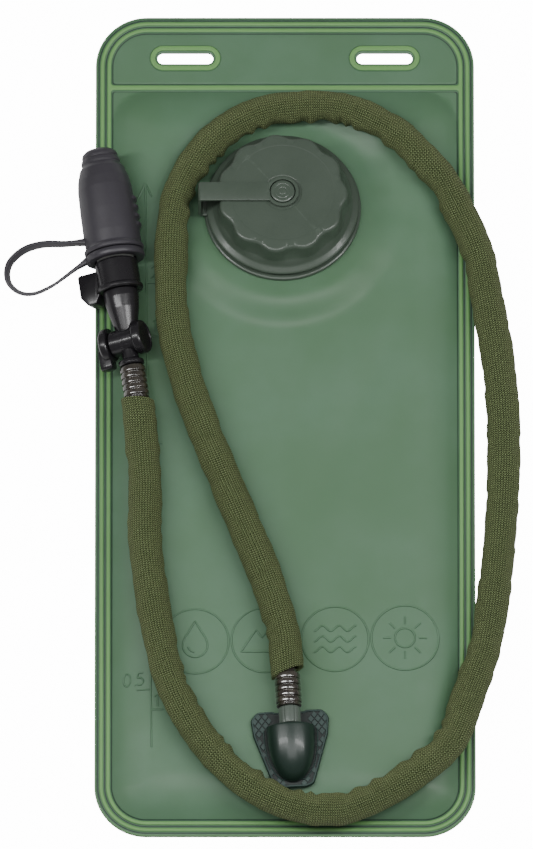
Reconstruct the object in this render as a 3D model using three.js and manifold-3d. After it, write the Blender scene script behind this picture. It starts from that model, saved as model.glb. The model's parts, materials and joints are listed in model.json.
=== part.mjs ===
// Hydration bladder with a screw-capped filling port, a sleeved drinking hose and a bite valve.
// It lies on its back: +X right, +Y towards the hanging slots, +Z up. Millimetres.
// The origin is the centre of the back sheet's outer face.
import * as THREE from 'three';
import { mergeVertices } from 'three/addons/utils/BufferGeometryUtils.js';
import Module from 'manifold-3d';

const wasm = await Module();
wasm.setup();

const GAP = 0.3; // clearance between neighbouring pieces
const degrees = THREE.MathUtils.degToRad;

// Bladder sheets
const BLADDER = { width: 190, height: 428, corner: 26, border: 8.3 };
const FILM = 0.9;
const BACK_THICK = 0.9;
const BORDER_TOP = 2.4; // top of the welded border
const CHAMBER = { plump: 7.6, rise: 24, top: 175.2 }; // header weld at CHAMBER.top
const SLOT = { x: 50, y: 192.5, length: 28, width: 5.7 };

// Filling port, in a frame that leans towards the header
const PORT = { x: -1.2, y: 110.3, z: 9.6, lean: degrees(7), flat: 46, blend: 62 };
const NECK = { bore: 24, radius: 26.2, top: 16.5, flange: 38.8, flangeTop: 2.5 };
const THREAD = { pitch: 6, turns: 1.5, depth: 1.2, start: 6 };
const CAP = { rim: 38.6, bottom: 5, bore: 28.1, ceiling: 18.8, top: 21, lobes: 11, lobeDepth: 1.3 };
const TETHER = { inner: 29.8, outer: 36.5, low: 2.8, high: 4.6, width: 10, reach: 42.2, thick: 1.6 };
const BUTTON = { radius: 6.2, ring: 8.15 };

// Outlet, in a frame on the film whose +Y runs towards the hose
const OUTLET = { x: 2.6, y: -161.2, z: 10, lean: degrees(3.5), axis: 8.9 };
const PLATE = { thick: 2.7, half: 19.7, top: 9.4, bottom: -30.5, notch: 8 };
const DOME = { half: 12.25, length: 28, height: 11.5, socket: 4.2, depth: 13.5, port: 3, portY: -10.5 };
const CUFF = { radius: 6.7, bore: 3.5, length: 17.5, ribs: 5 };
const PLUG = { nose: 3.85, noseEnd: -9, groove: 2.85, collar: 5.6, collarEnd: 9, tail: 24, bore: 1.9 };
const PLUG_GROOVES = [-7.5, -4.5];
const GROOVE_WIDTH = 1.4;
const BARB = { root: 2.75, tip: 3.15, pitch: 3.2, taper: 2.4, count: 4 };

// Drinking hose and its knitted sleeve
const HOSE_RADIUS = 4.5;
const SLEEVE = { outer: 8, inner: 6.7 };
const CORD_STEPS = 46;

// Shut-off valve and bite valve, in a frame whose +Y is the drinking axis; the valve is rolled on it
const SHUTOFF = { x: -76.4, y: 25, z: 20.6, lean: degrees(8.5), roll: degrees(-25), barrelY: 13.5 };
const BARREL = { radius: 6.6, left: -8.6, right: 5, bore: 4.9, endRadius: 8.5, end: 9.6, wall: 1.6 };
const STEM = { bottom: -15.5, top: 39.2, spigot: 4.2, spigotTop: 49, groove: 46, grooveRadius: 3.3 };
const LEVER = { radius: 8.8, left: -13.6, tabOut: 2.4, tabLow: -13, tabHigh: -2, tabHalf: 3.4 };
const COLLAR = { lip: 11.6, radius: 10.8, bore: 5, lugLeft: -20, lugRight: -9.6, lugHalf: 5 };
const LEASH = { inner: 10.4, outer: 14.8, low: 0.6, high: 4.1, halfWidth: 2.3, halfThick: 0.65 };
const BITE_Y = 55.2;
const WATERWAY = 2.3;
const SPINDLE_GROOVES = [-7.4, 4.6];

// Route of the hose's centre line from the outlet to the shut-off valve
const ROUTE = [
  [-1.4, -112], [-9, -86], [-40, -8.5], [-49, 18], [-55, 44], [-57, 66, 18.6], [-54.2, 112, 18.4],
  [-44, 134.5, 16.4], [-28, 151, 14.9], [-11, 159.8, 14.2], [22.5, 162.3, 15.8], [40, 156.8, 18],
  [58, 145.5, 18.6], [70, 133.5, 17.9], [79, 123.5, 15.5], [90, 103, 11.4], [95.5, 90, 10.9],
  [100.5, 68, 9.4], [108.5, 10, 8.4], [108.2, -48, 8.4], [100, -117, 9.5], [96, -130, 10.8],
  [90, -148, 12], [82.5, -167.5, 15], [66.5, -184, 18.5], [47.5, -196, 16.4], [28, -203, 14.2],
  [9.5, -202.5, 15.2], [-8, -197, 17.4], [-26, -184.5, 18.6], [-41, -167.5], [-54, -145], [-61, -123],
  [-69.5, -68, 18], [-69.9, -34, 18.2], [-71.6, -13, 19.2],
];
const FILM_ROUTE_Z = 18.4; // where a route point names no height, the hose lies on the film

const material = (color, roughness, metalness = 0) =>
  new THREE.MeshStandardMaterial({ color, roughness, metalness });
const filmGreen = material(0x5f8269, 0.38);
const capGreen = material(0x4b584e, 0.45);
const plateGrey = material(0x55626c, 0.5);
const domeGreen = material(0x27352e, 0.3);
const sleeveOlive = material(0x4e552d, 0.95);
const hoseSmoke = material(0x4a4a3a, 0.25);
const plasticBlack = material(0x2b2a2e, 0.45);
const rubberBlack = material(0x35333a, 0.6);
const siliconeGrey = material(0x9a9c98, 0.5);

// A closed geometry with shared corners, no empty triangles and its faces pointing out.
function tidy(geometry) {
  const bare = geometry.clone();
  bare.deleteAttribute('normal');
  bare.deleteAttribute('uv');
  const merged = mergeVertices(bare, 1e-4);
  const p = merged.attributes.position;
  const index = merged.index.array;
  const kept = [];
  let volume = 0;
  const [a, b, c] = [new THREE.Vector3(), new THREE.Vector3(), new THREE.Vector3()];
  for (let i = 0; i < index.length; i += 3) {
    const [u, v, w] = [index[i], index[i + 1], index[i + 2]];
    if (u === v || v === w || u === w) continue;
    kept.push(u, v, w);
    volume += a.fromBufferAttribute(p, u).dot(
      b.fromBufferAttribute(p, v).cross(c.fromBufferAttribute(p, w)));
  }
  if (volume < 0) kept.reverse();
  merged.setIndex(kept);
  return merged;
}

function manifold(geometry) {
  const closed = tidy(geometry);
  return new wasm.Manifold(new wasm.Mesh({
    numProp: 3,
    vertProperties: new Float32Array(closed.attributes.position.array),
    triVerts: new Uint32Array(closed.index.array),
  }));
}

function fromManifold(solid) {
  const mesh = solid.getMesh();
  const geometry = new THREE.BufferGeometry();
  geometry.setAttribute('position', new THREE.BufferAttribute(mesh.vertProperties, 3));
  geometry.setIndex(new THREE.BufferAttribute(mesh.triVerts, 1));
  return geometry;
}

// One geometry from a body with other geometries added to it or cut out of it.
function combine(body, added, cut = []) {
  let result = manifold(body);
  for (const piece of added) result = result.add(manifold(piece));
  for (const piece of cut) result = result.subtract(manifold(piece));
  return fromManifold(result);
}

function place(group, name, geometry, finish) {
  const mesh = new THREE.Mesh(tidy(geometry), finish);
  mesh.name = name;
  group.add(mesh);
}

// A closed turned body about Y from [radius, height] points.
function turned(profile, segments) {
  return new THREE.LatheGeometry(profile.map(([r, y]) => new THREE.Vector2(r, y)), segments);
}

// The same about Z.
const turnedZ = (profile, segments) => turned(profile, segments).rotateX(Math.PI / 2);

function rod(radius, low, high, segments = 16) {
  return turned([[0, low], [radius, low], [radius, high], [0, high]], segments);
}

const rodX = (radius, low, high, segments = 16) =>
  rod(radius, -high, -low, segments).rotateZ(Math.PI / 2);
const rodZ = (radius, low, high, segments = 16) =>
  rod(radius, low, high, segments).rotateX(Math.PI / 2);

// A square-sectioned ring about Y.
function ring(inner, outer, low, high, segments = 24) {
  return turned([[inner, low], [outer, low], [outer, high], [inner, high], [inner, low]], segments);
}

const ringZ = (inner, outer, low, high, segments) =>
  ring(inner, outer, low, high, segments).rotateX(Math.PI / 2);

function block(x0, x1, y0, y1, z0, z1) {
  return new THREE.BoxGeometry(x1 - x0, y1 - y0, z1 - z0)
    .translate((x0 + x1) / 2, (y0 + y1) / 2, (z0 + z1) / 2);
}

function plate(shape, low, high, curveSegments = 6) {
  const settings = { depth: high - low, bevelEnabled: false, curveSegments };
  return new THREE.ExtrudeGeometry(shape, settings).translate(0, 0, low);
}

function roundedRectangle(x0, x1, y0, y1, r, path = new THREE.Shape()) {
  path.moveTo(x0 + r, y0);
  path.lineTo(x1 - r, y0);
  path.absarc(x1 - r, y0 + r, r, -Math.PI / 2, 0);
  path.lineTo(x1, y1 - r);
  path.absarc(x1 - r, y1 - r, r, 0, Math.PI / 2);
  path.lineTo(x0 + r, y1);
  path.absarc(x0 + r, y1 - r, r, Math.PI / 2, Math.PI);
  path.lineTo(x0, y0 + r);
  path.absarc(x0 + r, y0 + r, r, Math.PI, 1.5 * Math.PI);
  return path;
}

// Bladder: how far a point is inside the welded chamber, and the film's height there.
function chamberInset(x, y) {
  const radius = BLADDER.corner - BLADDER.border;
  const halfX = BLADDER.width / 2 - BLADDER.border;
  const low = -BLADDER.height / 2 + BLADDER.border;
  const middle = (CHAMBER.top + low) / 2;
  const halfY = (CHAMBER.top - low) / 2;
  const dx = Math.abs(x) - halfX + radius;
  const dy = Math.abs(y - middle) - halfY + radius;
  return radius - Math.hypot(Math.max(dx, 0), Math.max(dy, 0)) - Math.min(Math.max(dx, dy), 0);
}

function filmTop(x, y) {
  const inset = THREE.MathUtils.clamp(chamberInset(x, y) / CHAMBER.rise, 0, 1);
  const pillow = BORDER_TOP + CHAMBER.plump * Math.sin(inset * Math.PI / 2);
  const portPlane = PORT.z - Math.tan(PORT.lean) * (y - PORT.y);
  const reach = Math.hypot(x - PORT.x, y - PORT.y);
  const near = 1 - THREE.MathUtils.smoothstep(reach, PORT.flat, PORT.blend);
  return THREE.MathUtils.lerp(pillow, portPlane, near);
}

// A closed slab over a grid of lines, between a lower and an upper height.
function slab(xs, ys, lower, upper) {
  const positions = [];
  for (const height of [lower, upper]) {
    for (const y of ys) for (const x of xs) positions.push(x, y, height(x, y));
  }
  const [nx, ny] = [xs.length, ys.length];
  const at = (layer, i, j) => layer * nx * ny + j * nx + i;
  const index = [];
  const quad = (a, b, c, d) => index.push(a, b, c, a, c, d);
  for (let j = 0; j < ny - 1; j++) {
    for (let i = 0; i < nx - 1; i++) {
      quad(at(1, i, j), at(1, i + 1, j), at(1, i + 1, j + 1), at(1, i, j + 1));
      quad(at(0, i, j + 1), at(0, i + 1, j + 1), at(0, i + 1, j), at(0, i, j));
    }
  }
  for (let i = 0; i < nx - 1; i++) {
    quad(at(0, i, 0), at(0, i + 1, 0), at(1, i + 1, 0), at(1, i, 0));
    quad(at(0, i + 1, ny - 1), at(0, i, ny - 1), at(1, i, ny - 1), at(1, i + 1, ny - 1));
  }
  for (let j = 0; j < ny - 1; j++) {
    quad(at(0, 0, j + 1), at(0, 0, j), at(1, 0, j), at(1, 0, j + 1));
    quad(at(0, nx - 1, j), at(0, nx - 1, j + 1), at(1, nx - 1, j + 1), at(1, nx - 1, j));
  }
  const geometry = new THREE.BufferGeometry();
  geometry.setAttribute('position', new THREE.Float32BufferAttribute(positions, 3));
  geometry.setIndex(index);
  return geometry;
}

function sheetOutline() {
  const [halfX, halfY] = [BLADDER.width / 2, BLADDER.height / 2];
  const shape = roundedRectangle(-halfX, halfX, -halfY, halfY, BLADDER.corner);
  for (const side of [-1, 1]) {
    const [x, hl, hw] = [side * SLOT.x, SLOT.length / 2, SLOT.width / 2];
    const slot = new THREE.Path();
    roundedRectangle(x - hl, x + hl, SLOT.y - hw, SLOT.y + hw, hw - 0.01, slot);
    shape.holes.push(slot);
  }
  return shape;
}

function backSheet() {
  return plate(sheetOutline(), 0, BACK_THICK, 4);
}

function frontSheet() {
  const outline = sheetOutline();
  const mouth = new THREE.Path();
  mouth.absellipse(PORT.x, PORT.y, NECK.bore, NECK.bore, 0, 2 * Math.PI);
  outline.holes.push(mouth);
  const xs = [0, 12, 24, 32, 39, 46, 53, 61, 67, 72, 77, 82, 86.7, 96];
  const mirrored = [...xs.slice(1).map((x) => -x).reverse(), ...xs];
  const ys = [-215, -205.7, -201, -196, -190, -182, -150, -100, -50, 0, 30, 50, 60, 67, 74, 82, 96,
    110, 124, 138, 146, 152, 158, 164, 170, 175.2, 215];
  const under = (x, y) => Math.max(filmTop(x, y) - FILM, BACK_THICK + GAP);
  const drainX = OUTLET.x - DOME.portY * Math.sin(OUTLET.lean);
  const drainY = OUTLET.y + DOME.portY * Math.cos(OUTLET.lean);
  const drain = rodZ(DOME.port, 0, 20, 12).translate(drainX, drainY, 0);
  const shell = manifold(slab(mirrored, ys, under, filmTop))
    .intersect(manifold(plate(outline, -1, 30, 4)));
  return fromManifold(shell.subtract(manifold(drain)));
}

// Filling port, heights measured from the film along the port's axis
function neckThread() {
  const turns = THREAD.turns * 2 * Math.PI;
  const steps = 24;
  const points = Array.from({ length: steps + 1 }, (_, i) => {
    const angle = (i / steps) * turns;
    const height = THREAD.start + (angle / (2 * Math.PI)) * THREAD.pitch;
    return new THREE.Vector3(Math.cos(angle) * NECK.radius, Math.sin(angle) * NECK.radius, height);
  });
  const section = new THREE.Shape();
  section.absellipse(0, 0, THREAD.depth, THREAD.depth, 0, 2 * Math.PI);
  const extrudePath = new THREE.CatmullRomCurve3(points);
  return new THREE.ExtrudeGeometry(section, { steps, extrudePath, curveSegments: 2 });
}

function fillPortNeck() {
  const { bore, radius, top, flange, flangeTop } = NECK;
  const body = turnedZ([
    [bore, GAP], [flange - 0.8, GAP], [flange, 1], [flange, flangeTop], [radius, flangeTop],
    [radius, top - 0.8], [radius - 0.8, top], [bore, top], [bore, GAP],
  ], 32);
  return combine(body, [neckThread()]);
}

function capShell() {
  const { rim, bottom, bore, ceiling, top } = CAP;
  const profile = [
    [0, ceiling], [bore, ceiling], [bore, bottom], [rim, bottom], [rim, bottom + 1.4],
    [34.6, bottom + 3.6], [33.2, bottom + 6], [32.4, top - 3], [31.4, top - 0.9], [29.9, top], [0, top],
  ];
  const geometry = turnedZ(profile, 44);
  const p = geometry.attributes.position;
  for (let i = 0; i < p.count; i++) {
    const [x, y, z] = [p.getX(i), p.getY(i), p.getZ(i)];
    const radius = Math.hypot(x, y);
    if (radius < bore + 0.5 || z < bottom + 3) continue;
    const wave = 0.5 - 0.5 * Math.cos(CAP.lobes * Math.atan2(y, x));
    const factor = 1 - (CAP.lobeDepth * wave) / radius;
    p.setXY(i, x * factor, y * factor);
  }
  return geometry;
}

function tetherNeckRing() {
  const { inner, outer, low, high, width, reach, thick } = TETHER;
  const tab = block(-reach, -outer + 2, -width / 2, width / 2, low, low + thick);
  return combine(ringZ(inner, outer, low, high, 24), [tab]);
}

function tetherStrap() {
  const { width, reach, thick, low } = TETHER;
  const seat = CAP.top + GAP;
  const flat = block(-reach, -BUTTON.ring + 1.5, -width / 2, width / 2, seat, seat + thick);
  const leg = block(-reach, -reach + thick, -width / 2, width / 2, low + thick + GAP, seat + 0.5);
  const hole = rodZ(BUTTON.radius + GAP, seat - 1, seat + thick + 1, 24);
  return combine(rodZ(BUTTON.ring, seat, seat + thick, 32), [flat, leg], [hole]);
}

function capButton() {
  const seat = CAP.top + GAP;
  return turnedZ([
    [0, seat], [BUTTON.radius, seat], [BUTTON.radius, seat + 1.6], [BUTTON.radius - 0.5, seat + 2.1],
    [0, seat + 2.1],
  ], 28);
}

// Outlet, heights measured from the film
function outletPlate() {
  const { half, top, bottom, notch, thick } = PLATE;
  const shape = new THREE.Shape();
  shape.moveTo(notch, 4.2);
  shape.lineTo(notch + 1.5, top);
  shape.lineTo(half - 6, top);
  shape.quadraticCurveTo(half, top, half, 2);
  shape.lineTo(10.5, -26.5);
  shape.quadraticCurveTo(9, bottom, 4, bottom);
  shape.lineTo(-4, bottom);
  shape.quadraticCurveTo(-9, bottom, -10.5, -26.5);
  shape.lineTo(-half, 2);
  shape.quadraticCurveTo(-half, top, -half + 6, top);
  shape.lineTo(-notch - 1.5, top);
  shape.lineTo(-notch, 4.2);
  const drain = rodZ(DOME.port, -1, 5, 12).translate(0, DOME.portY, 0);
  return combine(plate(shape, GAP, GAP + thick, 4), [], [drain]);
}

function outletDome() {
  const seat = 2 * GAP + PLATE.thick;
  const egg = new THREE.SphereGeometry(1, 20, 12);
  const p = egg.attributes.position;
  for (let i = 0; i < p.count; i++) p.setY(i, Math.sign(p.getY(i)) * Math.abs(p.getY(i)) ** 0.75);
  egg.scale(DOME.half, DOME.length, DOME.height);
  const keep = block(-20, 20, -40, 0, 0, 20);
  const socket = rod(DOME.socket, -DOME.depth, 1, 16).translate(0, 0, OUTLET.axis - seat);
  const drain = rodZ(DOME.port, -1, OUTLET.axis - seat, 12).translate(0, DOME.portY, 0);
  const shell = manifold(egg).intersect(manifold(keep));
  return fromManifold(shell.subtract(manifold(socket)).subtract(manifold(drain)))
    .translate(0, 0, seat);
}

// Profile points of a barbed tail that a hose is pushed over, from its low end
function barbs(low) {
  return Array.from({ length: BARB.count }, (_, i) => low + i * BARB.pitch)
    .flatMap((y) => [[BARB.tip, y], [BARB.root, y + BARB.taper]]);
}

// Nose with two O-ring grooves, a collar and a barbed tail, along Y
function hosePlug() {
  const { nose, noseEnd, groove, collar, collarEnd, tail, bore } = PLUG;
  const profile = [[bore, noseEnd], [nose, noseEnd]];
  for (const y of PLUG_GROOVES) {
    profile.push([nose, y], [groove, y], [groove, y + GROOVE_WIDTH], [nose, y + GROOVE_WIDTH]);
  }
  profile.push([nose, GAP], [collar, GAP], [collar, collarEnd], [BARB.root, collarEnd]);
  profile.push(...barbs(collarEnd + 2), [BARB.root, tail], [bore, tail], [bore, noseEnd]);
  return turned(profile, 14);
}

function plugRing(y) {
  return ring(3.05, 4.0, y + 0.2, y + 1.2, 14);
}

// A ribbed rubber cuff on the hose's end, along Y from its low end
function hoseCuff(low) {
  const { radius, bore, length, ribs } = CUFF;
  const pitch = length / ribs;
  const profile = [[bore, low]];
  for (let i = 0; i < ribs; i++) {
    const y = low + i * pitch;
    profile.push([radius - 0.8, y], [radius, y + 0.8], [radius, y + pitch - 0.8]);
  }
  profile.push([radius - 0.8, low + length], [bore, low + length], [bore, low]);
  return turned(profile, 12);
}

// Hose and sleeve on one centre line
function alongOutlet(y) {
  return new THREE.Vector3(OUTLET.x - y * Math.sin(OUTLET.lean), OUTLET.y + y * Math.cos(OUTLET.lean),
    OUTLET.z + OUTLET.axis);
}

function alongShutoff(y) {
  return new THREE.Vector3(SHUTOFF.x - y * Math.sin(SHUTOFF.lean),
    SHUTOFF.y + y * Math.cos(SHUTOFF.lean), SHUTOFF.z);
}

function hoseLine() {
  const start = PLUG.collarEnd + GAP + CUFF.length + GAP;
  const end = -CUFF.length - 2 * GAP;
  const points = [
    alongOutlet(start), alongOutlet(start + 6),
    ...ROUTE.map(([x, y, z = FILM_ROUTE_Z]) => new THREE.Vector3(x, y, z)),
    alongShutoff(end - 9), alongShutoff(end),
  ];
  return new THREE.CatmullRomCurve3(points, false, 'centripetal');
}

function hoseTube(outer, inner, sides) {
  const section = new THREE.Shape();
  section.absellipse(0, 0, outer, outer, 0, 2 * Math.PI);
  if (inner > 0) {
    const bore = new THREE.Path();
    bore.absellipse(0, 0, inner, inner, 0, 2 * Math.PI);
    section.holes.push(bore);
  }
  const settings = { steps: CORD_STEPS, extrudePath: hoseLine(), curveSegments: sides };
  return new THREE.ExtrudeGeometry(section, settings);
}

// Shut-off valve: barb, barrel across the drinking axis, cone and swivel spigot
function shutoffBody() {
  const { barrelY } = SHUTOFF;
  const { bottom, top, spigot, spigotTop, groove, grooveRadius } = STEM;
  const profile = [[0, bottom], [BARB.root, bottom], ...barbs(bottom + 1.5), [BARB.root, 0]];
  profile.push([6.2, 0], [6.2, 2.6], [4, 2.6], [4, barrelY], [5.4, barrelY + 5],
    [6.2, 21.7], [8.1, 29.6], [8.9, 36.5], [8.9, top], [spigot, top], [spigot, groove],
    [grooveRadius, groove], [grooveRadius, groove + 1.6], [spigot, groove + 1.6],
    [spigot, spigotTop], [0, spigotTop]);
  const tube = rodX(BARREL.radius, BARREL.left, BARREL.right + 1, 20);
  const end = rodX(BARREL.endRadius, BARREL.right, BARREL.end, 20);
  const bore = rodX(BARREL.bore, BARREL.left - 1, BARREL.end - BARREL.wall, 16);
  const across = [tube, end, bore].map((piece) => piece.translate(0, barrelY, 0));
  return combine(turned(profile, 16), across.slice(0, 2), [across[2], rod(WATERWAY, -17, 50, 8)]);
}

// Turning spindle in the barrel, with a cross hole and two O-ring grooves
function shutoffSpindle() {
  const [r, groove] = [BARREL.bore - GAP, 3.7];
  const [x0, x1] = [BARREL.left, BARREL.end - BARREL.wall - GAP];
  const profile = [[0, x0], [r, x0]];
  for (const x of SPINDLE_GROOVES) profile.push([r, x], [groove, x], [groove, x + 1.3], [r, x + 1.3]);
  profile.push([r, x1], [0, x1]);
  const body = turned(profile, 16).rotateZ(-Math.PI / 2).translate(0, SHUTOFF.barrelY, 0);
  return combine(body, [], [rod(WATERWAY, 0, 30, 8)]);
}

function spindleRing(x) {
  return ring(3.9, 4.55, x + 0.15, x + 1.15, 16)
    .rotateZ(-Math.PI / 2).translate(0, SHUTOFF.barrelY, 0);
}

// Knob disc on the barrel's left end, with a tab that points down the hose when open
function shutoffLever() {
  const { barrelY } = SHUTOFF;
  const { radius, left, tabOut, tabLow, tabHigh, tabHalf } = LEVER;
  const right = BARREL.left - GAP;
  const profile = [[0, -right], [radius, -right], [radius, -left - 1], [radius - 1, -left], [0, -left]];
  const knob = turned(profile, 20).rotateZ(Math.PI / 2).translate(0, barrelY, 0);
  const tab = block(left - tabOut, left + 4, barrelY + tabLow, barrelY + tabHigh, -tabHalf, tabHalf);
  return combine(knob, [tab]);
}

function spigotRing() {
  return ring(3.5, 4.6, STEM.groove + 0.2, STEM.groove + 1.4, 16);
}

// Swivel collar over the spigot, with a square clip lug on its left
function swivelCollar() {
  const { lip, radius, bore, lugLeft, lugRight, lugHalf } = COLLAR;
  const low = STEM.top + GAP;
  const high = BITE_Y - GAP;
  const inside = STEM.spigotTop + 1;
  const profile = [
    [bore, low], [lip, low], [lip, low + 2.2], [radius, low + 2.6], [radius, high],
    [WATERWAY + 0.2, high], [WATERWAY + 0.2, inside], [bore, inside], [bore, low],
  ];
  const shape = new THREE.Shape();
  shape.moveTo(lugRight, low);
  shape.lineTo(lugRight, high - 3.4);
  shape.lineTo(lugLeft, high - 3.4);
  shape.lineTo(lugLeft, low);
  shape.lineTo(lugLeft + 3, low - 4.2);
  shape.lineTo(lugRight - 2.4, low - 4.2);
  return combine(turned(profile, 20), [plate(shape, -lugHalf, lugHalf)]);
}

function mouthpieceCore() {
  return turned([
    [2.5, GAP], [6.9, GAP], [6.9, 5.2], [5.6, 5.6], [5.6, 14], [6.1, 14.4], [5.2, 16.5], [2.5, 16.5],
    [2.5, GAP],
  ], 14);
}

// Silicone mouthpiece over the core, its tip pressed oval
function mouthpiece() {
  const geometry = turned([
    [7.3, 0.8], [9.6, 0.8], [9.9, 4], [9.2, 9], [8.2, 18], [8.8, 26], [9.4, 32], [8.4, 37], [5, 39.6],
    [0, 40.2], [0, 36.5], [4.5, 36], [6.2, 30], [5.4, 22], [6.4, 18], [6.4, 13], [6, 10], [7.3, 5.4],
    [7.3, 0.8],
  ], 18);
  const p = geometry.attributes.position;
  for (let i = 0; i < p.count; i++) {
    const squeeze = THREE.MathUtils.smoothstep(p.getY(i), 22, 34);
    p.setZ(i, p.getZ(i) * (1 - 0.35 * squeeze));
  }
  return geometry;
}

function leashRing() {
  return ring(LEASH.inner, LEASH.outer, LEASH.low, LEASH.high, 20);
}

function coverBoot() {
  return turned([
    [10.8, 4.5], [14.9, 4.5], [14.9, 7], [14.3, 8], [14.2, 14], [13.6, 38], [12.9, 43], [11.2, 48.5],
    [9.6, 51], [9.7, 53.6], [8.9, 54.4], [9, 56.2], [7, 58.2], [0, 59], [0, 47], [8.5, 46], [11, 41],
    [12, 36], [12.2, 14], [10.8, 7], [10.8, 4.5],
  ], 20);
}

// Flat leash from the leash ring out to the left and back to the cover's base
function coverLeash() {
  const centre = new THREE.CatmullRomCurve3([
    [-15.1, 2.4], [-22, -1.6], [-33, -7.6], [-43, -10.5], [-50.5, -8.5], [-54.8, -2], [-53, 6.5],
    [-45, 12.6], [-35, 14.4], [-24, 13], [-15.4, 12.4],
  ].map(([x, y]) => new THREE.Vector3(x, y, 0)), false, 'centripetal');
  const count = 28;
  const points = centre.getSpacedPoints(count);
  const side = (offset) => points.map((point, i) => {
    const tangent = centre.getTangentAt(i / count);
    return new THREE.Vector2(point.x - offset * tangent.y, point.y + offset * tangent.x);
  });
  const outline = [...side(LEASH.halfThick), ...side(-LEASH.halfThick).reverse()];
  return plate(new THREE.Shape(outline), -LEASH.halfWidth, LEASH.halfWidth);
}

function group(parent, position, rotation) {
  const frame = new THREE.Group();
  frame.position.set(...position);
  frame.rotation.set(...rotation);
  parent.add(frame);
  return frame;
}

function buildBladder(model) {
  place(model, 'back_sheet', backSheet(), filmGreen);
  place(model, 'front_sheet', frontSheet(), filmGreen);
}

function buildPort(model) {
  const port = group(model, [PORT.x, PORT.y, PORT.z], [-PORT.lean, 0, 0]);
  place(port, 'fill_port_neck', fillPortNeck(), capGreen);
  place(port, 'tether_neck_ring', tetherNeckRing(), capGreen);
  place(port, 'tether_strap', tetherStrap(), capGreen);
  place(port, 'cap', capShell(), capGreen);
  place(port, 'cap_seal', ringZ(20, CAP.bore - 0.5, NECK.top + GAP, CAP.ceiling - GAP, 24), rubberBlack);
  place(port, 'cap_button', capButton(), capGreen);
}

function buildOutlet(model) {
  const outlet = group(model, [OUTLET.x, OUTLET.y, OUTLET.z], [0, 0, OUTLET.lean]);
  place(outlet, 'outlet_plate', outletPlate(), plateGrey);
  place(outlet, 'outlet_dome', outletDome(), domeGreen);
  const socket = group(outlet, [0, 0, OUTLET.axis], [0, 0, 0]);
  place(socket, 'hose_plug', hosePlug(), domeGreen);
  for (const [i, y] of PLUG_GROOVES.entries()) {
    place(socket, `plug_o_ring_${i + 1}`, plugRing(y), rubberBlack);
  }
  place(socket, 'outlet_hose_cuff', hoseCuff(PLUG.collarEnd + GAP), hoseSmoke);
}

function buildHose(model) {
  place(model, 'hose', hoseTube(HOSE_RADIUS, 0, 4), hoseSmoke);
  place(model, 'hose_sleeve', hoseTube(SLEEVE.outer, SLEEVE.inner, 5), sleeveOlive);
}

function buildValve(model) {
  const axis = group(model, [SHUTOFF.x, SHUTOFF.y, SHUTOFF.z], [0, 0, SHUTOFF.lean]);
  const shutoff = group(axis, [0, 0, 0], [0, SHUTOFF.roll, 0]);
  place(shutoff, 'valve_hose_cuff', hoseCuff(-CUFF.length - GAP), hoseSmoke);
  place(shutoff, 'shutoff_body', shutoffBody(), plasticBlack);
  place(shutoff, 'shutoff_spindle', shutoffSpindle(), plasticBlack);
  for (const [i, x] of SPINDLE_GROOVES.entries()) {
    place(shutoff, `spindle_o_ring_${i + 1}`, spindleRing(x), rubberBlack);
  }
  place(shutoff, 'shutoff_lever', shutoffLever(), plasticBlack);
  place(shutoff, 'spigot_o_ring', spigotRing(), rubberBlack);
  place(shutoff, 'swivel_collar', swivelCollar(), plasticBlack);
  const bite = group(axis, [0, BITE_Y, 0], [0, 0, 0]);
  place(bite, 'mouthpiece_core', mouthpieceCore(), plasticBlack);
  place(bite, 'mouthpiece', mouthpiece(), siliconeGrey);
  place(bite, 'leash_ring', leashRing(), rubberBlack);
  place(bite, 'cover_leash', coverLeash(), rubberBlack);
  place(bite, 'bite_valve_cover', coverBoot(), rubberBlack);
}

const hydrationBladder = new THREE.Group();
buildBladder(hydrationBladder);
buildPort(hydrationBladder);
buildOutlet(hydrationBladder);
buildHose(hydrationBladder);
buildValve(hydrationBladder);

export default hydrationBladder;
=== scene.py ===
import json
import math

import bmesh
import bpy
import numpy as np
from mathutils import Matrix, Vector, noise


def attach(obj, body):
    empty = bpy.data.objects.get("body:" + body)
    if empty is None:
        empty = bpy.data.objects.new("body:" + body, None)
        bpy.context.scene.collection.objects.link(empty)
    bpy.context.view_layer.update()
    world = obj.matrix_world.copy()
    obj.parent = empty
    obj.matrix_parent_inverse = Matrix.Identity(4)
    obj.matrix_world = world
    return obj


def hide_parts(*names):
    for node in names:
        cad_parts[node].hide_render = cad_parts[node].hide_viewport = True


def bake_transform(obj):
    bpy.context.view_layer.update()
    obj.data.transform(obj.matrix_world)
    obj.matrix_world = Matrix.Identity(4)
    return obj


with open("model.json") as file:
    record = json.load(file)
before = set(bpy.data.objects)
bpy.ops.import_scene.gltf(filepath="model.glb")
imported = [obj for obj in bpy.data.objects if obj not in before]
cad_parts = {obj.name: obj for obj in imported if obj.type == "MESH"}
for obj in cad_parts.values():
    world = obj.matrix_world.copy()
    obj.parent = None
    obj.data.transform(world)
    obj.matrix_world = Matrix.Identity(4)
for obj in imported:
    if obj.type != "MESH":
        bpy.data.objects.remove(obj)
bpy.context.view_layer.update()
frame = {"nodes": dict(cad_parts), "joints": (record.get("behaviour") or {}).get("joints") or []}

bl_info = {
    "name": "Hydration Bladder",
    "version": (1, 0, 0),
    "blender": (4, 5, 0),
    "location": "3D View > Sidebar > Hydration",
    "description": "Builds a welded drinking bladder with its hose, filling port and bite valve",
    "category": "Add Mesh",
}

MM = 0.001

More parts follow.
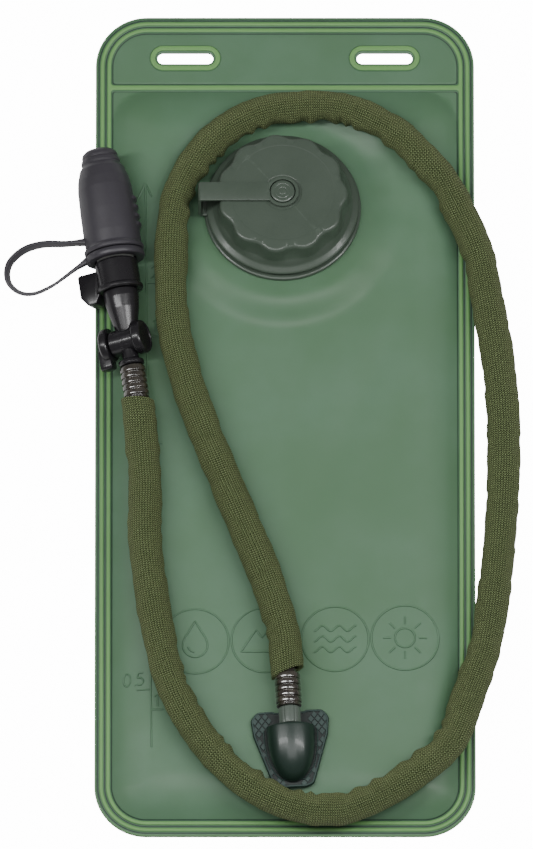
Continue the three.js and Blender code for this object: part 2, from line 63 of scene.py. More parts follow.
# Sheets, in millimetres
HALF_X, HALF_Y = 95.0, 214.0
CORNER = 26.0
BORDER = 8.3  # width of the welded border
BORDER_TOP = 2.4
PLUMP = 7.6  # how far the empty chamber stands above its border
RISE = 24.0  # over what width it rises
CHAMBER_TOP = 175.2
HEADER_WELD = 176.9
SLOTS = [(-50.0, 192.5), (50.0, 192.5)]
SLOT_STRAIGHT = 11.15  # half the straight part of a slot
SLOT_HALF = 2.85
SLOT_CUT = 4.4  # half width of the cut in the film, under the slot's rim
FILM_MOUTH = 26.0  # radius of the film's opening under the filling neck
PORT_XY = (-1.2, 110.3)
PORT_Z = 9.6
PORT_SLOPE = math.tan(math.radians(7))
PORT_FLAT, PORT_BLEND = 46.0, 62.0

# The film's border from its edge inwards: distance, height above the welded film, how raised it is; the last
# sets the paler ridge colour with painted highlight and the dark groove colour with painted shade
BORDER_PROFILE = [
    (0.0, 0.05, 0.75), (0.25, 0.62, 0.8), (1.0, 0.66, 0.55), (1.35, -0.3, 0.0), (2.1, -0.35, 0.0),
    (2.55, 0.55, 0.9), (3.0, 0.78, 1.0), (3.9, 0.76, 1.0), (4.35, 0.5, 0.8), (4.8, -0.35, 0.0),
    (5.5, -0.3, 0.0), (5.95, 0.55, 0.85), (6.3, 0.78, 1.0), (7.1, 0.76, 1.0), (7.6, 0.35, 0.4),
    (8.0, -0.12, 0.0), (8.8, 0.0, 0.15), (10.0, 0.0, 0.22),
]
RIDGE_INSET = 6.7  # from the film's edge to the middle of its inner ridge
RIDGE_HALF = 0.55
RIDGE_HEIGHT = 0.78
WELD_HALF = 0.7  # half width of the header weld's crest
WELD_FILLET = 1.6
WELD_SINK = 0.65  # how far the chamber's rim is pressed down beside the weld
GROOVE_DEPTH = 0.16  # of the groove that runs beside the header weld
FAR = 99.0  # further than any ridge reaches
BACK_TOP = 0.9  # where the back film ends
UNDERSIDE = 1.0  # the lowest place of the front film's underside
THINNEST_FILM = 0.25

# The hose's route from the outlet to the shut-off, in metres
ROUTE = [
    (-0.0014, -0.112, 0.0184), (-0.009, -0.086, 0.0184), (-0.04, -0.0085, 0.0184), (-0.049, 0.018, 0.0184),
    (-0.055, 0.044, 0.0184), (-0.057, 0.066, 0.0186), (-0.0542, 0.112, 0.0184), (-0.044, 0.1345, 0.0164),
    (-0.028, 0.151, 0.0149), (-0.011, 0.1598, 0.0142), (0.0225, 0.1623, 0.0158), (0.04, 0.1568, 0.018),
    (0.058, 0.1455, 0.0186), (0.07, 0.1335, 0.0179), (0.079, 0.1235, 0.0155), (0.09, 0.103, 0.0114),
    (0.0955, 0.09, 0.0109), (0.1005, 0.068, 0.0094), (0.1085, 0.01, 0.0084), (0.1082, -0.048, 0.0084),
    (0.1, -0.117, 0.0095), (0.096, -0.13, 0.0108), (0.09, -0.148, 0.012), (0.0825, -0.1675, 0.015),
    (0.0665, -0.184, 0.0185), (0.0475, -0.196, 0.0164), (0.028, -0.203, 0.0142), (0.0095, -0.2025, 0.0152),
    (-0.008, -0.197, 0.0174), (-0.026, -0.1845, 0.0186), (-0.041, -0.1675, 0.0184), (-0.054, -0.145, 0.0184),
    (-0.061, -0.123, 0.0184), (-0.0695, -0.068, 0.018), (-0.0699, -0.034, 0.0182), (-0.0716, -0.013, 0.0192),
]
HOSE_ENDS = (27.1, 33.1)  # where the hose starts along the outlet's axis, and its straight part's end
VALVE_ENDS = (-27.1, -18.1)  # the same at the shut-off
HOSE_RADIUS = 0.0045
SLEEVE_DIAMETER = 0.016
SLEEVE_BORE = 0.0062  # the knitted tube's inner radius
FOLD_PITCH = 0.0125
CREASE = 0.0006  # depth of the sleeve's small creases
FULL_BEND = 16.0  # the bend, in radians a metre, at which the folds are deepest
BEND_WINDOW = 21
END_TAPER = 0.010  # over what length the sleeve's ends draw in
END_SLANT = 0.0028


def joint(name):
    """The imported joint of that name."""
    return next(j for j in frame["joints"] if j["name"] == name)


def placed(origin, x, y):
    """A matrix that takes millimetres in a group's own axes to metres in the frame."""
    x, y = Vector(x).normalized(), Vector(y).normalized()
    turn = Matrix((x, y, x.cross(y))).transposed().to_4x4()
    return Matrix.Translation(origin) @ turn @ Matrix.Scale(MM, 4)


PORT_AXIS = Vector(joint("cap_turn")["axis"])
PORT = placed(joint("cap_turn")["pos_m"], (1, 0, 0), PORT_AXIS.cross(Vector((1, 0, 0))))
DRINK_AXIS = Vector(joint("bite_valve_swivel")["axis"])
ACROSS = DRINK_AXIS.cross(Vector((0, 0, 1)))
VALVE = placed(joint("bite_valve_swivel")["pos_m"], ACROSS, DRINK_AXIS)
SHUTOFF = placed(joint("bite_valve_swivel")["pos_m"], -Vector(joint("shutoff_turn")["axis"]), DRINK_AXIS)
BARREL_Y = 13.5  # from the shut-off's foot up to the barrel's axis
BARREL_RADIUS = 6.6
BITE = VALVE @ Matrix.Translation((0, 55.2, 0))
OUTLET_TURN = Matrix.Rotation(math.radians(3.5), 4, "Z")
OUTLET = Matrix.Translation((0.0026, -0.1612, 0.01)) @ OUTLET_TURN @ Matrix.Scale(MM, 4)
SOCKET = OUTLET @ Matrix.Translation((0, 0, 8.9))
WORLD_MM = Matrix.Scale(MM, 4)
IN_METRES = Matrix.Identity(4)


# ---------------------------------------------------------------- settings


def colour(name, description, default):
    """A colour that the user can change."""
    return bpy.props.FloatVectorProperty(
        name=name, description=description, subtype="COLOR", size=3, min=0, max=1, default=default
    )


def length(name, description, default):
    """A length that the user can change."""
    return bpy.props.FloatProperty(
        name=name, description=description, default=default, min=0, unit="LENGTH", subtype="DISTANCE"
    )


class HydrationSizes(bpy.types.PropertyGroup):
    """Sizes of the soft parts and the moulded marks."""

    film: length("Film", "Thickness of each sheet", 0.0007)
    sag: length("Sag", "How deep the empty film's dents are", 0.0007)
    sleeve_half_width: length("Sleeve half width", "Half the knitted sleeve's width", 0.0083)
    sleeve_half_height: length("Sleeve half height", "Half the knitted sleeve's height", 0.0076)
    fold: length("Sleeve fold", "Depth of the folds on the inside of bends", 0.0019)
    stitch: length("Stitch", "Pitch of the knitted rows", 0.00115)
    mark_height: length("Mark height", "How far the marks stand on the film", 0.0005)
    mark_width: length("Mark width", "Half width of a moulded line", 0.00048)


class HydrationColours(bpy.types.PropertyGroup):
    """Colours of every material."""

    film: colour("Film", "Body of the film", (0.1, 0.2, 0.118))
    film_shade: colour("Film shade", "Darker drifts in the film", (0.082, 0.175, 0.09))
    # Ridge colour: partly the thicker plastic's tone, partly painted highlight. Groove colour: partly the
    # thinner plastic's tone, partly painted shade.
    film_ridge_tone_and_highlight: colour("Raised film", "Ridges of the weld", (0.155, 0.35, 0.11))
    film_groove_tone_and_shade: colour("Film grooves", "Grooves of the weld", (0.012, 0.03, 0.022))
    port: colour("Port", "Cap, neck and tether", (0.066, 0.09, 0.068))
    plate: colour("Outlet plate", "Cross-hatched plate", (0.023, 0.041, 0.036))
    dome: colour("Outlet dome", "Dome over the outlet", (0.0125, 0.028, 0.0205))
    plug: colour("Hose plug", "Collar of the plug", (0.1, 0.125, 0.105))
    cuff: colour("Cuffs", "Ribbed hose ends", (0.022, 0.019, 0.014))
    sleeve: colour("Sleeve", "Knitted yarn", (0.043, 0.063, 0.023))
    # Painted highlight: the colour of the yarn's crowns.
    sleeve_crown_highlight: colour("Sleeve light", "Crowns of the yarn", (0.265, 0.34, 0.148))
    valve: colour("Valve", "Valve plastic", (0.012, 0.011, 0.013))
    rubber: colour("Rubber", "Cover, leash and seals", (0.041, 0.038, 0.046))
    silicone: colour("Silicone", "Mouthpiece", (0.36, 0.37, 0.35))


class HydrationStudio(bpy.types.PropertyGroup):
    """Camera and lights."""

    distance: length("Camera distance", "How far the camera stands", 12.0)
    elevation: bpy.props.FloatProperty(
        name="Elevation", description="Camera's angle above the horizon", default=math.radians(73),
        unit="ROTATION", subtype="ANGLE",
    )
    view_height: length("View height", "Height of the view at the bladder", 0.4245)
    strip_power: bpy.props.FloatProperty(
        name="Strip power", description="Power of each strip light", default=11.8, min=0, unit="POWER"
    )
    overhead_power: bpy.props.FloatProperty(
        name="Overhead power", description="Power of the soft light above", default=7.5, min=0, unit="POWER"
    )
    sky: bpy.props.FloatProperty(name="Sky", description="Strength of the even light", default=0.2, min=0)


def sizes():
    return bpy.context.scene.hydration_sizes


def colours():
    return bpy.context.scene.hydration_colours


# ---------------------------------------------------------------- shapes


def unit(rows):
    """Each row scaled to length 1."""
    return rows / np.linalg.norm(rows, axis=1)[:, None]


def distances(line):
    """How far along the line each of its points is."""
    return np.concatenate([[0], np.cumsum(np.linalg.norm(np.diff(line, axis=0), axis=1))])


def evened(line, count):
    """That many evenly spaced points of the line."""
    run = distances(line)
    even = np.linspace(0, run[-1], count)
    return np.column_stack([np.interp(even, run, values) for values in line.T])


def resampled(line, step=1.0):
    """The line with a point about every step."""
    line = np.asarray(line, float)
    return evened(line, max(3, int(distances(line)[-1] / step) + 1))


def wall(rows, sides, closed=False):
    """Quads between rings of points; a closed wall also joins the last ring to the first."""
    faces = []
    for r in range(rows if closed else rows - 1):
        here, there = r * sides, (r + 1) % rows * sides
        for c in range(sides):
            d = (c + 1) % sides
            faces.append((here + c, here + d, there + d, there + c))
    return faces


def end_caps(rows, sides):
    """The faces that close a wall's first and last ring."""
    return [tuple(range(sides))[::-1], tuple(range((rows - 1) * sides, rows * sides))]


def rounded(points, radius=0.4, steps=4, closed=False):
    """The line with its corners rounded; a point may carry its own radius as a third number."""
    spots = [np.array(p[:2], float) for p in points]
    count = len(spots)
    line = []
    for i, (p, spot) in enumerate(zip(points, spots)):
        if not closed and i in (0, count - 1):
            line.append(spot)
            continue
        before, after = spots[i - 1] - spot, spots[(i + 1) % count] - spot
        reach = [np.linalg.norm(before), np.linalg.norm(after)]
        before, after = before / reach[0], after / reach[1]
        opening = math.acos(np.clip(before @ after, -1, 1))
        own = p[2] if len(p) > 2 else radius
        if own <= 0 or opening > math.pi - 0.04:
            line.append(spot)
            continue
        cut = min(own / math.tan(opening / 2), 0.48 * reach[0], 0.48 * reach[1])
        for k in range(steps + 1):
            t = k / steps
            line.append(spot + before * cut * (1 - t) ** 2 + after * cut * t**2)
    return np.array(line)


def revolved(profile, segments=96, warp=None, loop=False, stations=None):
    """A closed turned shape about Z. The profile runs (radius, height) from axis to axis, or is a loop.
    warp changes radius and height by angle, and stations give each angle its own centre."""
    stations = stations or [(2 * math.pi * i / segments, 0.0, 0.0) for i in range(segments)]
    angle = np.array([s[0] for s in stations])
    centre = np.array([s[1:] for s in stations])
    verts, rings, faces = [], [], []
    for r, h in profile:
        if r < 1e-6:
            rings.append([len(verts)])
            verts.append((0.0, 0.0, h))
            continue
        radius, height = np.full(len(angle), float(r)), np.full(len(angle), float(h))
        if warp:
            radius, height = warp(angle, radius, height)
        start = len(verts)
        rings.append(list(range(start, start + len(angle))))
        x, y = radius * np.cos(angle) + centre[:, 0], radius * np.sin(angle) + centre[:, 1]
        verts.extend(zip(x, y, height))
    pairs = list(zip(rings, rings[1:] + ([rings[0]] if loop else [])))
    for low, high in pairs:
        for i in range(len(angle)):
            j = (i + 1) % len(angle)
            if len(low) == 1 and len(high) == 1:
                break
            if len(low) == 1:
                faces.append((low[0], high[i], high[j]))
            elif len(high) == 1:
                faces.append((low[i], high[0], low[j]))
            else:
                faces.append((low[i], high[i], high[j], low[j]))
    return np.array(verts), faces


def swept(path, section, closed=False):
    """A closed bar along a path. Section points are (across, up), one set or a set for each path point."""
    path = np.asarray(path, float)
    if closed:
        tangent = np.roll(path, -1, 0) - np.roll(path, 1, 0)
    else:
        tangent = np.gradient(path, axis=0)
    tangent = unit(tangent)
    across = unit(np.cross(tangent, (0.0, 0.0, 1.0)))
    up = np.cross(across, tangent)
    section = np.asarray(section, float)
    if section.ndim == 2:
        section = np.repeat(section[None], len(path), 0)
    verts = path[:, None] + section[..., :1] * across[:, None] + section[..., 1:2] * up[:, None]
    rows, sides = section.shape[:2]
    faces = wall(rows, sides, closed)
    if not closed:
        faces += end_caps(rows, sides)
    return verts.reshape(-1, 3), faces


def inset(outline, distance):
    """A closed outline moved inwards by a distance, its direction counter-clockwise."""
    outline = np.asarray(outline, float)
    ahead, back = np.roll(outline, -1, 0) - outline, outline - np.roll(outline, 1, 0)
    ahead /= np.linalg.norm(ahead, axis=1)[:, None] + 1e-12
    back /= np.linalg.norm(back, axis=1)[:, None] + 1e-12
    turn = unit(ahead + back)
    normal = np.stack([-turn[:, 1], turn[:, 0]], 1)
    mitre = np.clip(np.sum(turn * ahead, 1), 0.4, 1)
    return outline + normal * (distance / mitre)[:, None]


def stacked(outline, levels):
    """A closed slab: the outline, inset and at a height for each level, from the bottom up."""
    rows, sides = len(levels), len(outline)
    verts = [np.column_stack([inset(outline, shrink), np.full(sides, height)]) for shrink, height in levels]
    return np.concatenate(verts), wall(rows, sides) + end_caps(rows, sides)


def bar(outline, low, high, edge=0.35):
    """A slab of that outline with rounded edges."""
    levels = [(edge, low), (edge * 0.3, low + edge * 0.3), (0, low + edge)]
    levels += [(0, high - edge), (edge * 0.3, high - edge * 0.3), (edge, high)]
    return stacked(outline, levels)


def gathered(*parts):
    """Several closed shapes as one list of points and faces."""
    verts, faces, start = [], [], 0
    for points, sides in parts:
        verts.append(np.asarray(points, float))
        faces += [tuple(start + i for i in side) for side in sides]
        start += len(points)
    return np.concatenate(verts), faces


def turned_to(part, matrix):
    """The shape moved by a matrix."""
    points, faces = part
    m = np.array(matrix)
    return points @ m[:3, :3].T + m[:3, 3], faces


Z_TO_Y = Matrix.Rotation(math.radians(-90), 4, "X")
Z_TO_X = Matrix.Rotation(math.radians(90), 4, "Y")


def along_y(part):
    """The shape with its own Z laid along Y."""
    return turned_to(part, Z_TO_Y)


def along_x(part):
    """The shape with its own Z laid along X."""
    return turned_to(part, Z_TO_X)


def smooth(low, high, value):
    """A soft step from 0 at low to 1 at high."""
    t = np.clip((value - low) / (high - low), 0, 1)
    return t * t * (3 - 2 * t)


def add_piece(name, part, finish, place, crease=38.0):
    """A mesh object of that shape, its faces pointing out and its edges sharp above the crease angle."""
    points, faces = part
    data = bpy.data.meshes.new(name)
    data.from_pydata(np.asarray(points).tolist(), [], faces)
    data.transform(place)
    mesh = bmesh.new()
    mesh.from_mesh(data)
    bmesh.ops.recalc_face_normals(mesh, faces=mesh.faces)
    mesh.to_mesh(data)
    mesh.free()
    data.polygons.foreach_set("use_smooth", [True] * len(data.polygons))
    data.set_sharp_from_angle(angle=math.radians(crease))
    data.materials.append(finish)
    obj = bpy.data.objects.new(name, data)
    bpy.context.scene.collection.objects.link(obj)
    return obj


def join_parts(name, solids, cuts, finish, place, crease=32.0):
    """One closed mesh: the solids joined, then the cuts taken out."""
    made = [add_piece(f"{name}_part", s, finish, place, crease) for s in [*solids, *cuts]]
    base = made[0]
    for i, tool in enumerate(made[1:], 1):
        step = base.modifiers.new("join", "BOOLEAN")
        step.object = tool
        step.operation = "UNION" if i < len(solids) else "DIFFERENCE"
        step.solver = "MANIFOLD"
    evaluated = base.evaluated_get(bpy.context.evaluated_depsgraph_get())
    data = bpy.data.meshes.new_from_object(evaluated)
    for old in made:
        bpy.data.objects.remove(old)
    data.materials.clear()
    data.materials.append(finish)
    data.set_sharp_from_angle(angle=math.radians(crease))
    data.name = name
    obj = bpy.data.objects.new(name, data)
    bpy.context.scene.collection.objects.link(obj)
    return obj


def stand_for(obj, body, slot, *nodes):
    """The piece rides on its body and stands for those CAD nodes, which it hides; the slot is not used."""
    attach(obj, body)
    if nodes:
        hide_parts(*nodes)
    return obj


# ---------------------------------------------------------------- finishes


class Finish:
    """A material under construction: its Principled shader and short calls for its nodes."""

    def __init__(self, name, **sockets):
        self.material = bpy.data.materials.new(f"{name} finish")
        self.material.use_nodes = True
        self.tree = self.material.node_tree
        self.shader = self.tree.nodes["Principled BSDF"]
        self.feed(self.shader, sockets)

    def feed(self, node, sockets):
        for name, value in sockets.items():
            name = name.replace("_", " ")
            socket = node.inputs[int(name)] if name.isdigit() else node.inputs[name]
            if isinstance(value, bpy.types.NodeSocket):
                self.tree.links.new(value, socket)
            elif hasattr(value, "__len__") and len(value) == 3 and socket.type == "RGBA":
                socket.default_value = (*value, 1)
            else:
                socket.default_value = value

    def add(self, kind, output=0, settings=(), **sockets):
        node = self.tree.nodes.new(kind)
        for key, value in dict(settings).items():
            setattr(node, key, value)
        self.feed(node, sockets)
        return node.outputs[output]

    def place(self):
        return self.add("ShaderNodeTexCoord", "Object")

    def noise(self, scale, detail=3.0, roughness=0.5):
        return self.add(
            "ShaderNodeTexNoise", 0, Vector=self.place(), Scale=scale, Detail=detail, Roughness=roughness
        )

    def maths(self, operation, a, b=0.0, c=0.0):
        node = self.tree.nodes.new("ShaderNodeMath")
        node.operation = operation
        for socket, value in zip(node.inputs, (a, b, c)):
            if isinstance(value, bpy.types.NodeSocket):
                self.tree.links.new(value, socket)
            else:
                socket.default_value = value
        return node.outputs[0]

    def ramp(self, value, low, high, out_low=0.0, out_high=1.0):
        """The value stretched from low..high to out_low..out_high, with soft ends."""
        node = self.tree.nodes.new("ShaderNodeMapRange")
        node.interpolation_type = "SMOOTHSTEP"
        self.tree.links.new(value, node.inputs[0])
        for socket, number in zip(node.inputs[1:5], (low, high, out_low, out_high)):
            socket.default_value = number
        return node.outputs[0]

    def mix(self, amount, a, b, blend="MIX"):
        node = self.tree.nodes.new("ShaderNodeMix")
        node.data_type = "RGBA"
        node.blend_type = blend
        for socket, value in zip((node.inputs[0], node.inputs[6], node.inputs[7]), (amount, a, b)):
            if isinstance(value, bpy.types.NodeSocket):
                self.tree.links.new(value, socket)
            elif socket.type == "RGBA":
                socket.default_value = (*value, 1)
            else:
                socket.default_value = value
        return node.outputs[2]

    def group(self, tree, **sockets):
        node = self.tree.nodes.new("ShaderNodeGroup")
        node.node_tree = tree
        self.feed(node, sockets)
        return node

    def bump(self, height, distance, strength=1.0):
        return self.add("ShaderNodeBump", 0, Height=height, Distance=distance, Strength=strength)

    def done(self, **sockets):
        self.feed(self.shader, sockets)
        return self.material


class GroupTree(Finish):
    """A shader node group under construction, built with the same short calls."""

    def __init__(self, name, inputs, outputs):
        self.tree = bpy.data.node_groups.new(name, "ShaderNodeTree")
        for label, kind, default in inputs:
            socket = self.tree.interface.new_socket(label, in_out="INPUT", socket_type=kind)
            socket.default_value = default
        for label, kind in outputs:
            self.tree.interface.new_socket(label, in_out="OUTPUT", socket_type=kind)
        self.inputs = self.tree.nodes.new("NodeGroupInput").outputs
        self.outputs = self.tree.nodes.new("NodeGroupOutput").inputs

    def give(self, label, value):
        self.tree.links.new(value, self.outputs[label])


FLOAT, COLOUR = "NodeSocketFloat", "NodeSocketColor"


def moulded_grain():
    """Fine grain of moulded plastic or rubber: a mottled colour, a roughness and a height."""
    if "moulded grain" in bpy.data.node_groups:
        return bpy.data.node_groups["moulded grain"]
    g = GroupTree(
        "moulded grain",
        [
            ("Colour", COLOUR, (0.1, 0.1, 0.1, 1)), ("Mottle", FLOAT, 0.25), ("Grain Scale", FLOAT, 2600.0),
            ("Roughness", FLOAT, 0.4), ("Spread", FLOAT, 0.12),
        ],
        [("Colour", COLOUR), ("Roughness", FLOAT), ("Height", FLOAT)],
    )
    drift = g.noise(55.0, 4.0, 0.6)
    fine = g.noise(g.inputs["Grain Scale"], 2.0, 0.5)
    shade = g.maths("MULTIPLY_ADD", g.maths("SUBTRACT", drift, 0.5), g.inputs["Mottle"], 1.0)
    speck = g.maths("MULTIPLY_ADD", g.maths("SUBTRACT", fine, 0.5), g.inputs["Mottle"], shade)
    grey = g.add("ShaderNodeCombineColor", 0, Red=speck, Green=speck, Blue=speck)
    g.give("Colour", g.mix(1.0, g.inputs["Colour"], grey, "MULTIPLY"))
    swing = g.maths("SUBTRACT", drift, 0.5)
    g.give("Roughness", g.maths("MULTIPLY_ADD", swing, g.inputs["Spread"], g.inputs["Roughness"]))
    g.give("Height", fine)
    return g.tree


def rubbed_edges():
    """A mask of worn edges: 1 on sharp outward edges, broken up by scuffs."""
    if "rubbed edges" in bpy.data.node_groups:
        return bpy.data.node_groups["rubbed edges"]
    g = GroupTree("rubbed edges", [("Amount", FLOAT, 0.5)], [("Mask", FLOAT)])
    point = g.add("ShaderNodeNewGeometry", "Pointiness")
    edge = g.ramp(point, 0.52, 0.62)
    scuff = g.ramp(g.noise(420.0, 5.0, 0.65), 0.35, 0.7)
    g.give("Mask", g.maths("MULTIPLY", g.maths("MULTIPLY", edge, scuff), g.inputs["Amount"]))
    return g.tree


def moulding(name, tint, rough, grain=2600.0, mottle=0.25, bump=0.00002, wear=0.35, lift=1.8, **sockets):
    """A moulded finish with grain, mottling and slightly paler rubbed edges."""
    f = Finish(name, **sockets)
    made = f.group(
        moulded_grain(), Colour=tuple(tint), Mottle=mottle, Grain_Scale=grain, Roughness=rough, Spread=0.14
    )
    worn = f.group(rubbed_edges(), Amount=wear).outputs["Mask"]
    pale = tuple(min(1.0, c * lift + 0.01) for c in tint)
    return f.done(
        Base_Color=f.mix(worn, made.outputs["Colour"], pale),
        Roughness=made.outputs["Roughness"],
        Normal=f.bump(made.outputs["Height"], bump),
    )


def film_finish():
    """Welded film: a satin green, paler and yellower on the ridges and darker in the grooves, partly the
    plastic's thickness and partly painted highlight on the ridges and painted shade in the grooves.
    """
    c = colours()
    f = Finish("film", Specular_IOR_Level=0.45)
    f.feed(f.shader, {"Subsurface Weight": 0.12, "Subsurface Scale": 0.002})
    f.shader.inputs["Subsurface Radius"].default_value = (0.6, 1.0, 0.6)
    raised = f.add("ShaderNodeAttribute", "Fac", {"attribute_name": "raised"})
    drift = f.ramp(f.noise(14.0, 3.0, 0.55), 0.35, 0.7)
    cloud = f.ramp(f.noise(90.0, 4.0, 0.6), 0.3, 0.75, 0.0, 0.35)
    body = f.mix(cloud, f.mix(drift, tuple(c.film), tuple(c.film_shade)), tuple(c.film_shade))
    # Painted highlight: the ridges turn paler and yellower, partly the thicker plastic's own tone.
    with_ridge_highlight = f.mix(f.ramp(raised, 0.55, 1.0), body, tuple(c.film_ridge_tone_and_highlight))
    # Painted shade: the grooves turn near black, partly the thinner plastic's own tone.
    groove = f.ramp(raised, 0.12, 0.0)
    tint = f.mix(groove, with_ridge_highlight, tuple(c.film_groove_tone_and_shade))
    grain = f.noise(1500.0, 3.0, 0.55)
    rough = f.ramp(f.noise(40.0, 3.0), 0.3, 0.7, 0.42, 0.52)
    return f.done(Base_Color=tint, Roughness=rough, Normal=f.bump(grain, 0.00003, 0.7))


def sleeve_finish():
    """Ribbed knit: slanting stitches in rows and stray fuzz, with painted highlights on the yarn's crowns and
    painted shade in the gaps between stitches.
    """
    c = colours()
    f = Finish("sleeve knit", Specular_IOR_Level=0.2, Sheen_Weight=0.25, Sheen_Roughness=0.5)
    f.shader.inputs["Sheen Tint"].default_value = (0.6, 0.62, 0.3, 1)
    stitch = f.add("ShaderNodeUVMap", 0, {"uv_map": "stitches"})
    parts = f.tree.nodes.new("ShaderNodeSeparateXYZ")
    f.tree.links.new(stitch, parts.inputs[0])
    uneven = f.noise(260.0, 3.0, 0.6)
    wander = f.maths("MULTIPLY", f.maths("SUBTRACT", uneven, 0.5), 0.9)
    wale = f.maths("ADD", parts.outputs[0], wander)
    lean = f.maths("ABSOLUTE", f.maths("SUBTRACT", f.maths("FRACT", wale), 0.5))
    course = f.maths("ADD", f.maths("ADD", parts.outputs[1], wander), f.maths("MULTIPLY", lean, 1.5))
    row = f.maths("SINE", f.maths("MULTIPLY", course, 2 * math.pi))
    column = f.maths("COSINE", f.maths("MULTIPLY", wale, 2 * math.pi))
    loops = f.maths("MULTIPLY_ADD", row, 0.36, f.maths("MULTIPLY_ADD", column, -0.12, 0.5))
    fuzz = f.noise(2200.0, 3.0, 0.65)
    height = f.maths("MULTIPLY_ADD", f.maths("SUBTRACT", fuzz, 0.5), 0.6, loops)
    # Painted highlight on the yarn's crowns.
    crown = f.ramp(height, 0.55, 0.95)
    # Painted shade in the gaps between stitches.
    gap_shade = f.ramp(height, 0.42, 0.08)
    drift = f.ramp(f.noise(60.0, 3.0), 0.3, 0.7, 0.0, 0.4)
    body = f.mix(drift, tuple(c.sleeve), tuple(0.75 * v for v in c.sleeve))
    tint = f.mix(gap_shade, f.mix(crown, body, tuple(c.sleeve_crown_highlight)), tuple(0.1 * v for v in c.sleeve))
    return f.done(Base_Color=tint, Roughness=f.ramp(fuzz, 0.2, 0.8, 0.8, 0.95), Normal=f.bump(height, 0.0006))


def plate_finish():
    """The outlet plate: the tops of its tiles and rims painted paler as painted highlight, the ground between
    them painted darker as painted shade.
    """
    c = colours()
    f = Finish("plate plastic", Specular_IOR_Level=0.5)
    raised = f.add("ShaderNodeAttribute", "Fac", {"attribute_name": "raised"})
    # Painted light: colour keyed to height, paler on top as painted highlight and darker in the ground
    # between as painted shade.
    tint = f.mix(f.ramp(raised, 0.1, 0.9), tuple(0.4 * v for v in c.plate), tuple(1.5 * v for v in c.plate))
    made = f.group(moulded_grain(), Mottle=0.35, Grain_Scale=1800.0, Roughness=0.32, Spread=0.14)
    f.feed(made, {"Colour": tint})
    return f.done(
        Base_Color=made.outputs["Colour"], Roughness=made.outputs["Roughness"],
        Normal=f.bump(made.outputs["Height"], 0.00002),
    )


def cuff_finish():
    """Smoky glossy tube ends."""
    f = Finish("smoky cuff", Coat_Weight=1.0, Coat_Roughness=0.03, Specular_IOR_Level=0.8)
    cloud = f.ramp(f.noise(300.0, 3.0), 0.35, 0.7)
    tint = f.mix(cloud, tuple(colours().cuff), tuple(2.4 * v for v in colours().cuff))
    return f.done(
        Base_Color=tint, Roughness=f.ramp(cloud, 0, 1, 0.1, 0.18), Normal=f.bump(f.noise(900.0), 0.00001)
    )


def finish(name):
    """The named finish, made on first use."""
    if f"{name} finish" in bpy.data.materials:
        return bpy.data.materials[f"{name} finish"]
    c = colours()
    makers = {
        "film": film_finish,
        "sleeve knit": sleeve_finish,
        "smoky cuff": cuff_finish,
        "port plastic": lambda: moulding(name, c.port, 0.32, 3000.0, 0.3, 0.000022, 0.4, Coat_Weight=0.08),
        "plate plastic": plate_finish,
        "dome plastic": lambda: moulding(name, c.dome, 0.32, 1400.0, 0.2, 0.000012, 0.3, Coat_Weight=0.1),
        "plug plastic": lambda: moulding(name, c.plug, 0.22, 1400.0, 0.3, 0.00001, 0.4, Coat_Weight=0.3),
        "valve plastic": lambda: moulding(
            name, c.valve, 0.27, 2200.0, 0.3, 0.000015, 0.5, 2.4, Coat_Weight=0.1
        ),
        "soft rubber": lambda: moulding(name, c.rubber, 0.4, 3400.0, 0.3, 0.000025, 0.3, 1.6),
        "silicone": lambda: moulding(name, c.silicone, 0.42, 1500.0, 0.12, 0.00001, 0.1, 1.1),
        "hose tube": lambda: moulding(name, c.cuff, 0.2, 900.0, 0.3, 0.00001, 0.1, 1.3, Coat_Weight=0.4),
    }
    return makers[name]()


# ---------------------------------------------------------------- hose


def hose_line(count):
    """Evenly spaced points of the centripetal curve from outlet to shut-off, and its length, in metres."""
    points = [SOCKET @ Vector((0, y, 0)) for y in HOSE_ENDS]
    points += [Vector(p) for p in ROUTE]
    points += [VALVE @ Vector((0, y, 0)) for y in VALVE_ENDS]
    points = np.array([p[:] for p in points])
    points = np.vstack([2 * points[0] - points[1], points, 2 * points[-1] - points[-2]])
    t = np.linspace(0, 1, 60, endpoint=False)[:, None]
    dense = []
    for p0, p1, p2, p3 in zip(points, points[1:], points[2:], points[3:]):
        d0, d1, d2 = (np.linalg.norm(b - a) ** 0.5 for a, b in ((p0, p1), (p1, p2), (p2, p3)))
        m1 = d1 * ((p1 - p0) / d0 - (p2 - p0) / (d0 + d1) + (p2 - p1) / d1)
        m2 = d1 * ((p2 - p1) / d1 - (p3 - p1) / (d1 + d2) + (p3 - p2) / d2)
        dense.append(
            p1 + m1 * t + (-3 * p1 + 3 * p2 - 2 * m1 - m2) * t**2 + (2 * p1 - 2 * p2 + m1 + m2) * t**3
        )
    dense = np.vstack([*dense, points[-2:-1]])
    return evened(dense, count), distances(dense)[-1]


def wobble(values, seed, scale):
    """Smooth one-dimensional noise between about -1 and 1."""
    return np.array([noise.noise((v * scale, seed, 0.37)) for v in values])


def bend_along(tangent, run):
    """How sharply the hose bends in plan, from -1 to 1, evened out over its neighbours."""
    bend = np.cross(tangent[:, :2], np.gradient(tangent[:, :2], run, axis=0))
    return np.convolve(np.clip(bend / FULL_BEND, -1, 1), np.ones(BEND_WINDOW) / BEND_WINDOW, "same")


